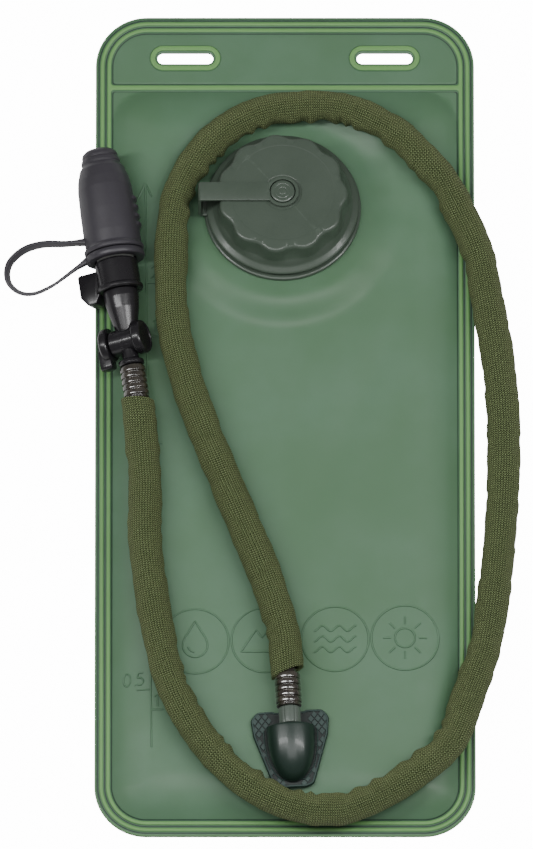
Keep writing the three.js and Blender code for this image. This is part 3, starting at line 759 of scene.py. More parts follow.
def sleeve_dents(run, angle, bend):
    """How far the knit sinks: folds inside the bends, long creases and small ripples."""
    inside_bend = np.clip(-np.cos(angle)[None] * np.sign(bend)[:, None], 0, 1)
    inside_bend *= smooth(0.15, 0.8, np.abs(bend))[:, None]
    phase = 2 * math.pi * (run / FOLD_PITCH + 0.9 * wobble(run, 2.2, 60))
    wave = 0.5 + 0.5 * np.sin(phase + 0.8 * np.sin(3 * run / FOLD_PITCH))
    fold = sizes().fold * inside_bend * wave[:, None]
    crease = CREASE * wobble(run, 9.1, 210)[:, None] * (0.4 + 0.6 * np.cos(angle * 2 + 1.0)[None])
    ripple = np.array([
        [noise.noise((math.cos(a) * 1.6, math.sin(a) * 1.6, r * 120)) for a in angle] for r in run[::4]
    ])
    return fold + crease + np.repeat(ripple, 4, 0)[:len(run)] * CREASE


def sleeve_part(rows=720, sides=48, inner_rows=90):
    """The knitted tube, folded inside its bends, with turned-in ends; and the rows' stitch counts."""
    s = sizes()
    path, total = hose_line(rows)
    run = np.linspace(0, total, rows)
    tangent = unit(np.gradient(path, axis=0))
    angle = 2 * math.pi * np.arange(sides) / sides - math.pi / 2
    across, up = np.cos(angle)[None], np.sin(angle)[None]
    width = s.sleeve_half_width * (1 + 0.045 * wobble(run, 1.3, 28) + 0.02 * wobble(run, 4.1, 110))
    height = s.sleeve_half_height * (1 + 0.03 * wobble(run, 7.7, 24))
    shrink = 1 - sleeve_dents(run, angle, bend_along(tangent, run)) / s.sleeve_half_width
    outer = np.stack([across * width[:, None] * shrink, up * height[:, None] * shrink], -1)
    ends = smooth(END_TAPER, 0.0, run) + smooth(total - END_TAPER, total, run)
    outer *= (1 - 0.06 * ends)[:, None, None]
    slant = END_SLANT * (smooth(0.02, 0.0, run) - 0.5 * smooth(total - 0.02, total, run))
    along = slant[:, None] * across
    outer = np.concatenate([outer, along[..., None]], -1)
    keep = np.linspace(rows - 1, 0, inner_rows).astype(int)
    inner = np.stack(np.broadcast_arrays(across * SLEEVE_BORE, up * SLEEVE_BORE, along[keep]), -1)
    lip = [outer[-1] * (0.93, 0.93, 1), outer[-1] * (0.84, 0.84, 1)]
    first = [outer[0] * (0.84, 0.84, 1), outer[0] * (0.93, 0.93, 1)]
    section = np.concatenate([outer, lip, inner, first])
    order = np.concatenate([np.arange(rows), [rows - 1, rows - 1], keep, [0, 0]])
    way = tangent[order]
    flat = unit(np.cross(way, (0.0, 0.0, 1.0)))
    rise = np.cross(flat, way)
    verts = path[order][:, None] + section[..., :1] * flat[:, None] + section[..., 1:2] * rise[:, None]
    verts += section[..., 2:] * way[:, None]
    return (verts.reshape(-1, 3), wall(len(order), sides, closed=True)), run[order] / s.stitch, sides


def stitch_map(obj, course, sides):
    """A UV map that counts the stitches round the sleeve and the rows along it."""
    wales = round(2 * math.pi * 0.5 * SLEEVE_DIAMETER / (1.15 * sizes().stitch))
    layer = obj.data.uv_layers.new(name="stitches")
    values = np.zeros((len(obj.data.loops), 2), np.float32)
    for face in obj.data.polygons:
        spots = [divmod(v, sides) for v in face.vertices]
        wraps = {c for _, c in spots} == {0, sides - 1}
        for loop, (row, side) in zip(face.loop_indices, spots):
            side = sides if wraps and side == 0 else side
            values[loop] = (wales * side / sides, course[row])
    layer.data.foreach_set("uv", values.ravel())


def circle_section(radius, sides):
    """The points of a round section."""
    angle = 2 * math.pi * np.arange(sides) / sides
    return np.column_stack([np.cos(angle), np.sin(angle)]) * radius


def cuff_part(low, ribs=5, length_mm=17.5, radius=6.55):
    """A tube end pushed over a barb: soft rings, a bead at the barb's end and a rolled lip."""
    profile = [(3.5, low), (radius - 0.5, low, 0.4), (radius - 0.1, low + 0.7, 0.3)]
    pitch = (length_mm - 2.2) / ribs
    for i in range(ribs):
        y = low + 1.2 + i * pitch
        profile += [(radius - 0.8, y, 0.3), (radius - 0.8, y + 0.45, 0.3)]
        profile += [(radius - 0.05, y + 0.75, 0.4), (radius, y + pitch / 2 + 0.3, 2)]
        profile += [(radius - 0.05, y + pitch - 0.25, 0.4)]
    profile += [(radius - 0.4, low + length_mm - 0.3, 0.3), (3.5, low + length_mm)]
    return along_y(revolved(rounded(profile, 0.2, 3, closed=True), 64, loop=True))


# ---------------------------------------------------------------- sheets


def outline_inset(x, y, half_x=HALF_X, low=-HALF_Y, high=HALF_Y, radius=CORNER):
    """How far a point is inside a rounded rectangle."""
    dx = np.abs(x) - half_x + radius
    dy = np.abs(y - (low + high) / 2) - (high - low) / 2 + radius
    return radius - np.hypot(np.maximum(dx, 0), np.maximum(dy, 0)) - np.minimum(np.maximum(dx, dy), 0)


def chamber_inset(x, y):
    """How far a point is inside the water chamber's weld."""
    return outline_inset(x, y, HALF_X - BORDER, -HALF_Y + BORDER, CHAMBER_TOP, CORNER - BORDER)


def film_plane(x, y):
    """The film without its ridges and dents: a low pillow, flat and tilted under the filling port."""
    pillow = BORDER_TOP + PLUMP * np.sin(np.clip(chamber_inset(x, y) / RISE, 0, 1) * math.pi / 2)
    plane = PORT_Z - PORT_SLOPE * (y - PORT_XY[1])
    near = 1 - smooth(PORT_FLAT, PORT_BLEND, np.hypot(x - PORT_XY[0], y - PORT_XY[1]))
    return pillow * (1 - near) + plane * near


def dents(x, y):
    """How far the slack film sinks: broad hollows and a few long soft folds, none under the fittings."""
    flat_x, flat_y = np.ravel(x), np.ravel(y)
    broad = np.array([noise.noise((a * 0.016, b * 0.011, 2.7)) for a, b in zip(flat_x, flat_y)])
    finer = np.array([noise.noise((a * 0.045, b * 0.03, 8.1)) for a, b in zip(flat_x, flat_y)])
    depth = (np.clip(0.45 - broad, 0, 1) * 0.75 + np.clip(0.3 - finer, 0, 1) * 0.3).reshape(np.shape(x))
    depth = depth + 0.55 * np.exp(-(((x - 0.42 * y - 34) / 7.5) ** 2)) * smooth(70, 20, np.abs(y - 10))
    depth = depth + 0.45 * np.exp(-(((x + 0.12 * y - 66) / 5.0) ** 2)) * smooth(120, 60, np.abs(y + 60))
    reach = np.hypot(x - PORT_XY[0], y - PORT_XY[1])
    turn = np.arctan2(y - PORT_XY[1], x - PORT_XY[0])
    pucker = np.clip(np.cos(9 * turn + 1.3 * np.sin(2 * turn)), 0, 1) * smooth(84, 50, reach)
    depth = depth + 0.5 * pucker
    outlet = np.hypot(x - 2.6, y + 170)
    depth = depth * smooth(40, 52, reach) * smooth(22, 38, outlet)
    return depth * smooth(6, 30, chamber_inset(x, y))


def ridge_union(x, y):
    """Distance from the crest of the inner border ridge and of the header weld, joined by fillets."""
    edge = outline_inset(x, y)
    border = np.abs(edge - RIDGE_INSET) - RIDGE_HALF
    weld = np.abs(y - HEADER_WELD) - WELD_HALF
    mixed = np.clip(0.5 + 0.5 * (weld - border) / WELD_FILLET, 0, 1)
    joined = weld * (1 - mixed) + border * mixed - WELD_FILLET * mixed * (1 - mixed)
    return np.where(edge > RIDGE_INSET, joined, FAR)


def front_height(x, y):
    """Height of the front film's outer face, and how raised it is, from 0 in a groove to 1 on a ridge; the
    finish paints a groove's 0 as painted shade and a ridge's 1 as painted highlight.
    """
    edge = outline_inset(x, y)
    at, lift, raised = np.array(BORDER_PROFILE).T
    base = film_plane(x, y) - WELD_SINK * (1 - smooth(0, 7, chamber_inset(x, y)))
    base = base - dents(x, y) * sizes().sag / MM
    height = base + np.interp(edge, at, lift)
    mark = np.interp(edge, at, raised)
    weld = ridge_union(x, y)
    crest = smooth(1.15, 0.15, weld)
    height = np.maximum(height, base + RIDGE_HEIGHT * crest)
    # The header weld's crest takes the paler ridge colour, partly painted highlight.
    mark = np.maximum(mark, crest)
    # The groove beside the header weld sinks and takes the dark groove colour as painted shade.
    shade = smooth(2.1, 1.2, weld) * (1 - smooth(1.15, 0.9, weld)) * (edge > 7.6)
    return height - GROOVE_DEPTH * shade, mark * (1 - shade)


def graded(stops):
    """Grid lines from (position, step) stops: each stretch keeps the step of its start."""
    lines = []
    for (a, step), (b, _) in zip(stops, stops[1:]):
        count = max(1, round((b - a) / step))
        lines += [a + (b - a) * i / count for i in range(count)]
    return np.array([*lines, stops[-1][0]])


def sheet_grid():
    """Points and quads over the sheet: rings that follow the border, then a grid inside them."""
    core_x, core_y = HALF_X - CORNER, HALF_Y - CORNER
    xs = graded([(-core_x, 2.1), (core_x, 1)])
    ys = graded([(-core_y, 2.1), (172.0, 0.4), (180.5, 1.5), (core_y, 1)])
    rings = graded([(0, 0.31), (8.8, 0.9), (12, 1.75), (CORNER, 1)])
    steps = 20
    around, core = [], []
    nx, ny = len(xs), len(ys)

    def corner(cx, cy, start, index):
        for k in range(1, steps):
            a = math.radians(start + 90 * k / steps)
            around.append((cx, cy, math.cos(a), math.sin(a)))
            core.append(index)

    for i, x in enumerate(xs):
        around.append((x, -core_y, 0, -1))
        core.append(i)
    corner(core_x, -core_y, -90, nx - 1)
    for j, y in enumerate(ys):
        around.append((core_x, y, 1, 0))
        core.append(j * nx + nx - 1)
    corner(core_x, core_y, 0, ny * nx - 1)
    for i in range(nx - 1, -1, -1):
        around.append((xs[i], core_y, 0, 1))
        core.append((ny - 1) * nx + i)
    corner(-core_x, core_y, 90, (ny - 1) * nx)
    for j in range(ny - 1, -1, -1):
        around.append((-core_x, ys[j], -1, 0))
        core.append(j * nx)
    corner(-core_x, -core_y, 180, 0)
    around = np.array(around)
    grid_x, grid_y = np.meshgrid(xs, ys)
    points = [np.column_stack([grid_x.ravel(), grid_y.ravel()])]
    index = [core]
    start = nx * ny
    for distance in rings[::-1][1:]:
        points.append(around[:, :2] + around[:, 2:] * (CORNER - distance))
        index.append(list(range(start, start + len(around))))
        start += len(around)
    faces = [
        (j * nx + i, j * nx + i + 1, (j + 1) * nx + i + 1, (j + 1) * nx + i)
        for j in range(ny - 1) for i in range(nx - 1)
    ]
    for inner, outer in zip(index, index[1:]):
        for i in range(len(around)):
            j = (i + 1) % len(around)
            ring = [outer[i], outer[j], inner[j], inner[i]]
            face = tuple(dict.fromkeys(ring))
            if len(face) > 2:
                faces.append(face)
    return np.concatenate(points), faces


def sheet_part(points, faces, top, bottom, holes):
    """A closed sheet between two heights, without the faces whose middles fall in a hole."""
    middle = np.array([points[list(f)].mean(0) for f in faces])
    open_here = np.zeros(len(faces), bool)
    for hole in holes:
        open_here |= hole(middle[:, 0], middle[:, 1])
    kept = [f for f, gone in zip(faces, open_here) if not gone]
    used = sorted({i for f in kept for i in f})
    place = {old: new for new, old in enumerate(used)}
    kept = [tuple(place[i] for i in f) for f in kept]
    count = len(used)
    verts = np.vstack([np.column_stack([points[used], level[used]]) for level in (top, bottom)])
    edges = {}
    for f in kept:
        for a, b in zip(f, f[1:] + f[:1]):
            if (b, a) in edges:
                del edges[(b, a)]
            else:
                edges[(a, b)] = True
    sides = [tuple(i + count for i in f[::-1]) for f in kept]
    walls = [(b, a, a + count, b + count) for a, b in edges]
    return (verts, kept + sides + walls), used


def in_slot(x, y):
    """Inside the film's cut-out for a hanging slot, which the slot's rim covers."""
    inside = np.zeros(np.shape(x), bool)
    for sx, sy in SLOTS:
        along = np.maximum(np.abs(x - sx) - SLOT_STRAIGHT, 0)
        inside |= np.hypot(along, y - sy) < SLOT_CUT
    return inside


def in_mouth(x, y):
    """Inside the film's round opening under the filling neck."""
    return np.hypot(x - PORT_XY[0], y - PORT_XY[1]) < FILM_MOUTH


def mark_raised(obj, values):
    """Stores how raised each point of the film is; its finish turns that into painted highlight on the ridges
    and painted shade in the grooves.
    """
    layer = obj.data.attributes.new("raised", "FLOAT", "POINT")
    layer.data.foreach_set("value", np.asarray(values, np.float32))


def slot_rim(x, y):
    """The raised eyelet round a hanging slot, through both sheets."""
    quarter = [(math.radians(-90 + 180 * k / 20), SLOT_STRAIGHT, 0) for k in range(21)]
    other = [(a + math.pi, -SLOT_STRAIGHT, 0) for a, _, _ in quarter]
    section = [
        (SLOT_HALF, 0.05), (SLOT_HALF, 1.75, 0.3), (3.75, 1.85, 0.2), (4.05, 2.75, 0.4), (6.2, 2.8, 0.5),
        (6.75, 1.9, 0.3), (7.3, 1.3, 0.2), (7.3, 0.9), (6.6, 0.9), (6.4, 0.05, 0.3),
    ]
    ring = revolved(rounded(section, 0.15, 3, closed=True), loop=True, stations=quarter + other)
    return turned_to(ring, Matrix.Translation((x, y, 0)))


# Strokes of the numerals, on a grid 2 wide and 4 high
NUMERALS = {
    "0": [[(0, 1), (0, 3), (0.6, 4), (1.4, 4), (2, 3), (2, 1), (1.4, 0), (0.6, 0), (0, 1)]],
    "1": [[(0.3, 3.2), (1.2, 4), (1.2, 0)]],
    "2": [[(0, 3.2), (0.6, 4), (1.5, 4), (2, 3.2), (1.8, 2.3), (0, 0), (2, 0)]],
    "5": [[(1.9, 4), (0.3, 4), (0.1, 2.3), (1.2, 2.5), (2, 1.8), (1.9, 0.7), (1.1, 0), (0, 0.4)]],
    ".": [[(0.7, 0), (0.9, 0.3)]],
}


def numeral_lines(text, x, y, size):
    """Strokes for a number whose lower left corner is at x, y."""
    lines = []
    for character in text:
        for stroke in NUMERALS[character]:
            lines.append([(x + px * size / 4, y + py * size / 4) for px, py in stroke])
        x += size * (0.35 if character == "." else 0.68)
    return lines


def arc(cx, cy, r, start, end, count=24):
    """Points of an arc, its angles in degrees."""
    turn = np.radians(np.linspace(start, end, count))
    return [(cx + r * math.cos(a), cy + r * math.sin(a)) for a in turn]


def badge_lines(kind, cx, cy):
    """A small drawing inside a ring: a drop, a ridge line, waves or a sun."""
    if kind == "drop":
        side = [(0, 10.5), (-2.6, 6), (-5.4, 1.5)]
        drop = side + arc(0, -2, 6.2, 150, 390, 20) + [(-x, y) for x, y in side[::-1]]
        lines = [drop, arc(0, -2, 3.6, 195, 265, 8)]
    elif kind == "ridge":
        lines = [
            [(-12, -6), (-4.5, 5.5), (-1.6, 1.2), (3.6, 8.5), (12, -6), (-12, -6)],
            [(1.4, 5.4), (3.4, 3.4), (5.6, 5)],
        ]
    elif kind == "waves":
        lines = []
        for level in (-5.5, 0, 5.5):
            lines.append([(x, level + 1.5 * math.sin(x * 0.75)) for x in np.linspace(-10.5, 10.5, 30)])
    else:
        lines = [arc(0, 0, 5, 0, 360, 30)]
        for k in range(8):
            c, s = math.cos(k * math.pi / 4), math.sin(k * math.pi / 4)
            lines.append([(7 * c, 7 * s), (11 * c, 11 * s)])
    return [[(cx + x, cy + y) for x, y in line] for line in lines]


def mark_lines():
    """Every moulded line on the film: the fill scale with its numerals, and a row of four badges."""
    top, foot = (-69.9, 124.5), (-66.5, -170)
    lines = [[top, foot], [(-73.4, 117.0), top, (-66.7, 117.2)]]
    for reading, y, side in (("0.5", -140.0, -1), ("1", -12.0, 1), ("1.5", 44.0, 1), ("2", 72.0, 1)):
        x = top[0] + (foot[0] - top[0]) * (top[1] - y) / (top[1] - foot[1])
        lines.append([(x, y), (x + side * 7.0, y)])
        left = x - 13.5 if side < 0 else x + 2.2
        lines += numeral_lines(reading, left, y + 2.4, 6.4)
    lines.append([(-66.8, -150.5), (-60.5, -150.5)])
    lines += numeral_lines("1", -65.5, -149.0, 6.4)
    for i, kind in enumerate(("drop", "ridge", "waves", "sun")):
        cx, cy = -44.8 + 34.85 * i, -115.2 + 0.63 * i
        lines.append(arc(cx, cy, 16.75, 0, 360, 73))
        lines += badge_lines(kind, cx, cy)
    return lines


def mark_part(line):
    """A half-round bead along a line, lying on the film."""
    flat = resampled(line)
    ring = np.allclose(line[0], line[-1])
    if ring:
        flat = flat[:-1]
    height, _ = front_height(flat[:, 0], flat[:, 1])
    path = np.column_stack([flat, height])
    w, h = sizes().mark_width / MM, sizes().mark_height / MM
    section = [(-w, -0.25), (-w, 0), (-0.7 * w, 0.62 * h), (0, h), (0.7 * w, 0.62 * h), (w, 0), (w, -0.25)]
    return swept(path, section, closed=ring)


# ---------------------------------------------------------------- filling port


LOBES, LOBE_DEPTH = 11, 2.1


def cap_part():
    """The screw cap: a conical skirt that flows up to a grip with eleven soft lobes round the flat top."""
    profile = [
        (0, 18.8), (28.1, 18.8, 0.5), (28.1, 5, 0.2), (37.4, 5, 0.3), (38.0, 5.6, 0.3), (38.0, 6.5, 0.4),
        (37.3, 7.0, 0.4), (34.9, 8.4, 2.5), (33.5, 11.2, 3), (32.9, 16.5, 2), (32.5, 21, 2.6),
        (26.9, 20.97, 0), (26.3, 20.97), (25.7, 20.87), (25.2, 20.87, 0), (10.2, 20.87, 0), (9.7, 20.87, 0.2),
        (9.4, 20.7, 0.2), (8.9, 20.7, 0), (0, 20.7),
    ]

    def lobes(angle, radius, height):
        grip = smooth(9.5, 14.5, height) * smooth(29.0, 31.5, radius)
        wave = (0.5 - 0.5 * np.cos(LOBES * angle)) ** 1.2
        return radius - LOBE_DEPTH * grip * wave, height

    return revolved(rounded(profile, 0.3, 6), 24 * LOBES, lobes)


def button_part():
    """The cap's button: a shallow mushroom with fine turned circles, in a dark groove."""
    profile = [
        (0, 22.95), (1.6, 22.95), (1.9, 22.8, 0.1), (2.2, 22.95, 0.1), (3.6, 23.0), (3.9, 22.88, 0.1),
        (4.2, 23.0, 0.1), (5.2, 23.0, 0.3), (6.0, 22.7, 0.4), (6.1, 21.3), (0, 21.3),
    ]
    return revolved(rounded(profile, 0.1, 3), 72)


def tether_path():
    """Middle line of the tether from the neck ring out, up and over the cap, in the port's XZ plane."""
    return rounded([(-33.5, 3.7), (-41.4, 3.7, 2.2), (-41.4, 22.1, 1.6), (-6.2, 22.1)], 1, 8)


def tether_strip():
    """The strap as a slab of the path's thickness, 10 mm wide, with soft edges."""
    line = resampled(tether_path(), 0.7)
    tangent = unit(np.gradient(line, axis=0))
    side = np.column_stack([-tangent[:, 1], tangent[:, 0]]) * 0.8
    outline = np.vstack([line - side, (line + side)[::-1]])
    slab = bar(outline, -5.0, 5.0, 0.3)
    upright = Matrix(((1, 0, 0, 0), (0, 0, -1, 0), (0, 1, 0, 0), (0, 0, 0, 1)))
    return turned_to(slab, upright)


def flat_ring(inner, outer, low, high, edge, segments):
    """A turned ring of rectangular section with rounded edges."""
    corners = [(inner, low), (outer, low), (outer, high), (inner, high)]
    return revolved(rounded(corners, edge, 3, closed=True), segments, loop=True)


def neck_part():
    """The filling neck: a welded flange with a thin lip, a wall and a rounded mouth."""
    profile = [
        (24, 0.1), (38.6, 0.1, 0.3), (39.3, 0.9, 0.3), (39.2, 2.2, 0.3), (38.4, 2.6, 0.3), (27.2, 2.5, 0.9),
        (26.2, 3.6, 0.9), (26.2, 15.7, 0.5), (25.4, 16.5, 0.5), (24, 16.5, 0.4),
    ]
    return revolved(rounded(profile, 0.2, 4, closed=True), 128, loop=True)


def thread_part(turns=1.5, pitch=6.0, start=6.0):
    """The neck's raised thread, tapering away at both ends."""
    t = np.linspace(0, 1, 120)
    angle = 2 * math.pi * turns * t
    path = np.column_stack([26.1 * np.cos(angle), 26.1 * np.sin(angle), start + pitch * turns * t])
    fade = np.clip(np.minimum(t, 1 - t) * 14, 0.12, 1)
    base = np.array([(-1.0, -1.1), (1.15, -0.35), (1.15, 0.35), (-1.0, 1.1)])
    return swept(path, base[None] * fade[:, None, None])


# ---------------------------------------------------------------- outlet


# Right half of the plate's outline, from the notch at the hose down to the foot: x, y, corner radius
PLATE_SIDE = [
    (7.0, 8.7, 0.4), (8.6, 9.4, 0.8), (16.4, 9.3, 4), (19.6, 5.2, 4), (18.6, -3.5, 6), (10.2, -29, 4),
    (6.5, -30.5, 3),
]
TILE = (1.62, 2.05)  # half width and half height of a raised diamond
TILE_STEP = (3.5, 2.2)
DOME_HALF, DOME_LENGTH, DOME_HEIGHT = 12.25, 28.0, 11.5


def dome_half_width(y):
    """Half width of the dome at y, from its end face at 0 to its tip."""
    return DOME_HALF * math.sqrt(max(0.0, 1 - min(1.0, abs(y) / DOME_LENGTH) ** (8 / 3)))


def plate_part():
    """The welded plate: a thin base, a raised rim, a lip round the dome and rows of raised diamonds."""
    mirrored = [(-x, y, r) for x, y, r in PLATE_SIDE[::-1]]
    outline = rounded(PLATE_SIDE + mirrored, 0.5, 10, closed=True)[::-1]
    base = stacked(outline, [(0.2, 0.2), (0, 0.5), (0, 1.9), (0.35, 2.3)])
    rim_path = np.column_stack([inset(outline, 0.75), np.full(len(outline), 2.2)])
    rim_section = [(-0.55, -0.4), (0.55, -0.4), (0.45, 0.5), (0.2, 0.75), (-0.2, 0.75), (-0.45, 0.5)]
    rim = swept(rim_path, rim_section, closed=True)
    ys = np.linspace(-0.6, -26.5, 40)
    right = [(dome_half_width(y) + 1.1, y) for y in ys]
    lip_line = resampled(right + [(-x, y) for x, y in right[::-1]], 0.8)
    lip_path = np.column_stack([lip_line, np.full(len(lip_line), 2.3)])
    lip = swept(lip_path, [(-0.4, -0.5), (0.4, -0.5), (0.3, 0.5), (0, 0.7), (-0.3, 0.5)])
    return gathered(base, rim, lip, *plate_tiles(inset(outline, 1.3)))


def plate_tiles(border):
    """The raised diamonds, in staggered rows, that lie inside the border and clear of the dome."""
    tile = np.array([(0, -1), (1, 0), (0, 1), (-1, 0)]) * TILE
    tiles = []
    for j in range(-15, 6):
        for i in range(-7, 8):
            x, y = TILE_STEP[0] * (i + 0.5 * (j % 2)), TILE_STEP[1] * j
            clear = abs(x) > (dome_half_width(y) + 1.9 if y < 0 else 9.2)
            if y < -DOME_LENGTH - 1 or not clear or not inside(border, x, y):
                continue
            low = np.column_stack([tile + (x, y), np.full(4, 2.1)])
            high = np.column_stack([tile * 0.84 + (x, y), np.full(4, 2.8)])
            tiles.append((np.vstack([low, high]), end_caps(2, 4) + wall(2, 4)))
    return tiles


def inside(outline, x, y):
    """Whether a point is inside a closed outline."""
    a, b = outline, np.roll(outline, -1, 0)
    crosses = (a[:, 1] > y) != (b[:, 1] > y)
    at = a[:, 0] + (y - a[:, 1]) * (b[:, 0] - a[:, 0]) / (b[:, 1] - a[:, 1] + 1e-12)
    return bool(np.count_nonzero(crosses & (x < at)) % 2)


def dome_part(rows=44, sides=56, seat=3.3):
    """Half an egg with a flat end face, its crown slightly flattened."""
    reach = np.sin(np.linspace(0, 1, rows) * math.pi / 2)
    ys = np.concatenate([[0, -0.12, -0.45], -0.9 - (DOME_LENGTH - 0.9) * reach])
    shrink = np.concatenate([[0.955, 0.985, 0.998], np.ones(rows)])
    angle = np.linspace(0, math.pi, sides)
    verts = []
    for y, s in zip(ys, shrink):
        scale = s * max(0.012, dome_half_width(y) / DOME_HALF)
        x = DOME_HALF * scale * np.sign(np.cos(angle)) * np.abs(np.cos(angle)) ** 0.92
        z = DOME_HEIGHT * scale * np.abs(np.sin(angle)) ** 0.9
        verts.append(np.column_stack([x, np.full(sides, y), seat + z]))
    return np.concatenate(verts), wall(len(ys), sides) + end_caps(len(ys), sides)


def plug_part():
    """The hose plug's collar, with two fine grooves along its top, its nose and its barb."""
    profile = [
        (0, -9), (3.85, -9, 0.3), (3.85, 0.3, 0.1), (5.3, 0.3, 0.3), (5.6, 0.8, 0.3), (5.6, 8.4, 0.3),
        (5.2, 9.0, 0.3), (2.75, 9.0), (2.75, 24), (0, 24),
    ]

    def grooves(angle, radius, height):
        dip = sum(np.exp(-(((angle - math.radians(a)) / 0.05) ** 2)) for a in (-120, -63))
        return radius - 0.45 * dip * smooth(4.5, 5.2, radius), height

    stations = [(-math.pi * 1.5 + 2 * math.pi * i / 180, 0.0, 0.0) for i in range(180)]
    return along_y(revolved(rounded(profile, 0.2, 3), warp=grooves, stations=stations))


# ---------------------------------------------------------------- shut-off


def stem_part():
    """The shut-off's turned body: barb, flange ring, neck and the cone that widens to the spigot."""
    profile = [(0, -15.5), (2.75, -15.5, 0.2)]
    for i in range(4):
        profile += [(3.15, -14 + 3.2 * i, 0.1), (2.75, -11.6 + 3.2 * i, 0.1)]
    profile += [
        (2.75, 0.1), (5.9, 0.1, 0.4), (6.5, 0.9, 0.6), (6.3, 2.5, 0.6), (4.7, 3.2, 0.6), (4.1, 3.6, 0.4),
        (4.1, 13.5), (5.5, 18.5), (6.2, 21.7, 3), (8.0, 29.6, 6), (8.8, 35.5, 2), (8.8, 39.2, 0.3),
        (4.2, 39.2), (4.2, 46, 0.1), (3.3, 46, 0.1), (3.3, 47.6, 0.1), (4.2, 47.6, 0.1), (4.2, 49, 0.3),
        (2.3, 49, 0.2), (2.3, 46.0), (0, 46.0),
    ]
    return along_y(revolved(rounded(profile, 0.3, 4), 80))


def barrel_parts():
    """The barrel across the stem, its stepped end on the right, and the bore for the spindle."""
    tube = [(0, -8.5), (6.2, -8.5, 0.4), (BARREL_RADIUS, -8.0, 0.4), (BARREL_RADIUS, 6), (0, 6)]
    end = [(0, 4.6), (7.6, 4.6, 0.5), (8.5, 5.6, 1.0), (8.5, 8.8, 0.9), (7.7, 9.6, 0.6), (0, 9.6)]
    dish = [(0, 9.2), (6.5, 9.2, 0.3), (6.8, 10.5), (0, 10.5)]
    lift = Matrix.Translation((0, BARREL_Y, 0))
    made = [turned_to(along_x(revolved(rounded(p, 0.2, 4), 72)), lift) for p in (tube, end)]
    cut = turned_to(along_x(revolved(rounded(dish, 0.2, 3), 72)), lift)
    bore = turned_to(along_x(revolved([(0, -10), (4.9, -10), (4.9, 8), (0, 8)], 48)), lift)
    return made, [cut, bore]


def barrel_marks():
    """Raised marks on the barrel that show open and closed: a ring and two bars."""
    ring, bar_line = arc(0, 0, 0.95, 0, 360, 25), [(-0.9, 0), (0.9, 0)]
    section = [(-0.22, -0.2), (0.22, -0.2), (0.22, 0.12), (0.1, 0.24), (-0.1, 0.24), (-0.22, 0.12)]
    parts = []
    for centre, stroke in ((0.15, ring), (-0.5, bar_line), (0.72, bar_line)):
        closed = stroke is ring
        line = resampled(stroke, 0.18)
        line = line[:-1] if closed else line
        turn = math.pi / 2 + centre + line[:, 1] / BARREL_RADIUS
        y, z = BARREL_Y + BARREL_RADIUS * np.cos(turn), BARREL_RADIUS * np.sin(turn)
        parts.append(swept(np.column_stack([line[:, 0] - 1.5, y, z]), section, closed))
    return gathered(*parts)


def knob_solids():
    """The lever: a disc on the barrel's left end and a tab down the hose."""
    disc = [
        (0, -13.5), (7.4, -13.5, 0.9), (8.75, -12.4, 0.9), (8.8, -9.6, 0.6), (8.3, -8.95, 0.4), (0, -8.95),
    ]
    lift = Matrix.Translation((0, BARREL_Y, 0))
    made = [turned_to(along_x(revolved(rounded(disc, 0.3, 4), 72)), lift)]
    corners = [(-2.0, -3.4, 1.2), (-2.0, 3.4, 1.2), (-12.6, 3.2, 2.2), (-12.6, -3.2, 2.2)]
    tab = bar(rounded(corners, 1, 5, closed=True), 9.4, 15.9, 0.6)
    to_left = Matrix(((0, 0, -1, 0), (1, 0, 0, BARREL_Y), (0, 1, 0, 0), (0, 0, 0, 1)))
    made.append(turned_to(tab, to_left))
    return made


# ---------------------------------------------------------------- bite valve


def collar_solids():
    """The swivel collar with its lower lip, and the square clip lug on its left."""
    profile = [
        (4.9, 39.5), (11.1, 39.5, 0.4), (11.7, 40.0, 0.4), (11.7, 41.3, 0.5), (10.8, 42.2, 0.5),
        (10.8, 54.3, 0.5), (10.3, 54.9, 0.3), (2.5, 54.9), (2.5, 50), (4.9, 50),
    ]
    ring = along_y(revolved(rounded(profile, 0.2, 4, closed=True), 96, loop=True))
    corners = [
        (-9.4, 39.5, 0.5), (-9.4, 51.5, 0.5), (-19.2, 51.6, 1.2), (-20, 50.6, 1), (-20, 40, 1.6),
        (-16.6, 35.3, 1.2), (-12, 35.3, 0.8),
    ]
    lug = bar(rounded(corners, 0.5, 5, closed=True), -5.0, 5.0, 0.5)
    return [ring, lug]


def mouthpiece_part():
    """The silicone mouthpiece over its core: its tip pressed oval and split by a fine slit."""
    profile = [
        (7.3, 0.8), (9.3, 0.8, 0.4), (9.8, 3.6, 1.5), (9.2, 9, 3), (8.2, 18, 6), (8.8, 26, 5), (9.4, 32, 4),
        (8.4, 37, 2.5), (5, 39.6, 2), (2.4, 40.1), (0, 40.2),
    ]
    inner = [
        (0, 36.5), (4.5, 36, 0.5), (6.2, 30, 3), (5.4, 22, 3), (6.4, 18, 1), (6.4, 13, 1), (6, 10, 1),
        (7.3, 5.4, 0.4), (7.3, 0.8),
    ]
    points, faces = revolved(np.vstack([rounded(profile, 0.2, 4), rounded(inner, 0.2, 3)[:-1]]), 72)
    x, y, z = points.T
    y = y * (1 - 0.35 * smooth(22, 34, z))
    slit = np.exp(-((y / 0.5) ** 2)) * smooth(38.2, 39.5, z) * smooth(6.0, 4.5, np.abs(x))
    return along_y((np.column_stack([x, y, z - 0.8 * slit]), faces))


COVER_SEGMENTS = 120


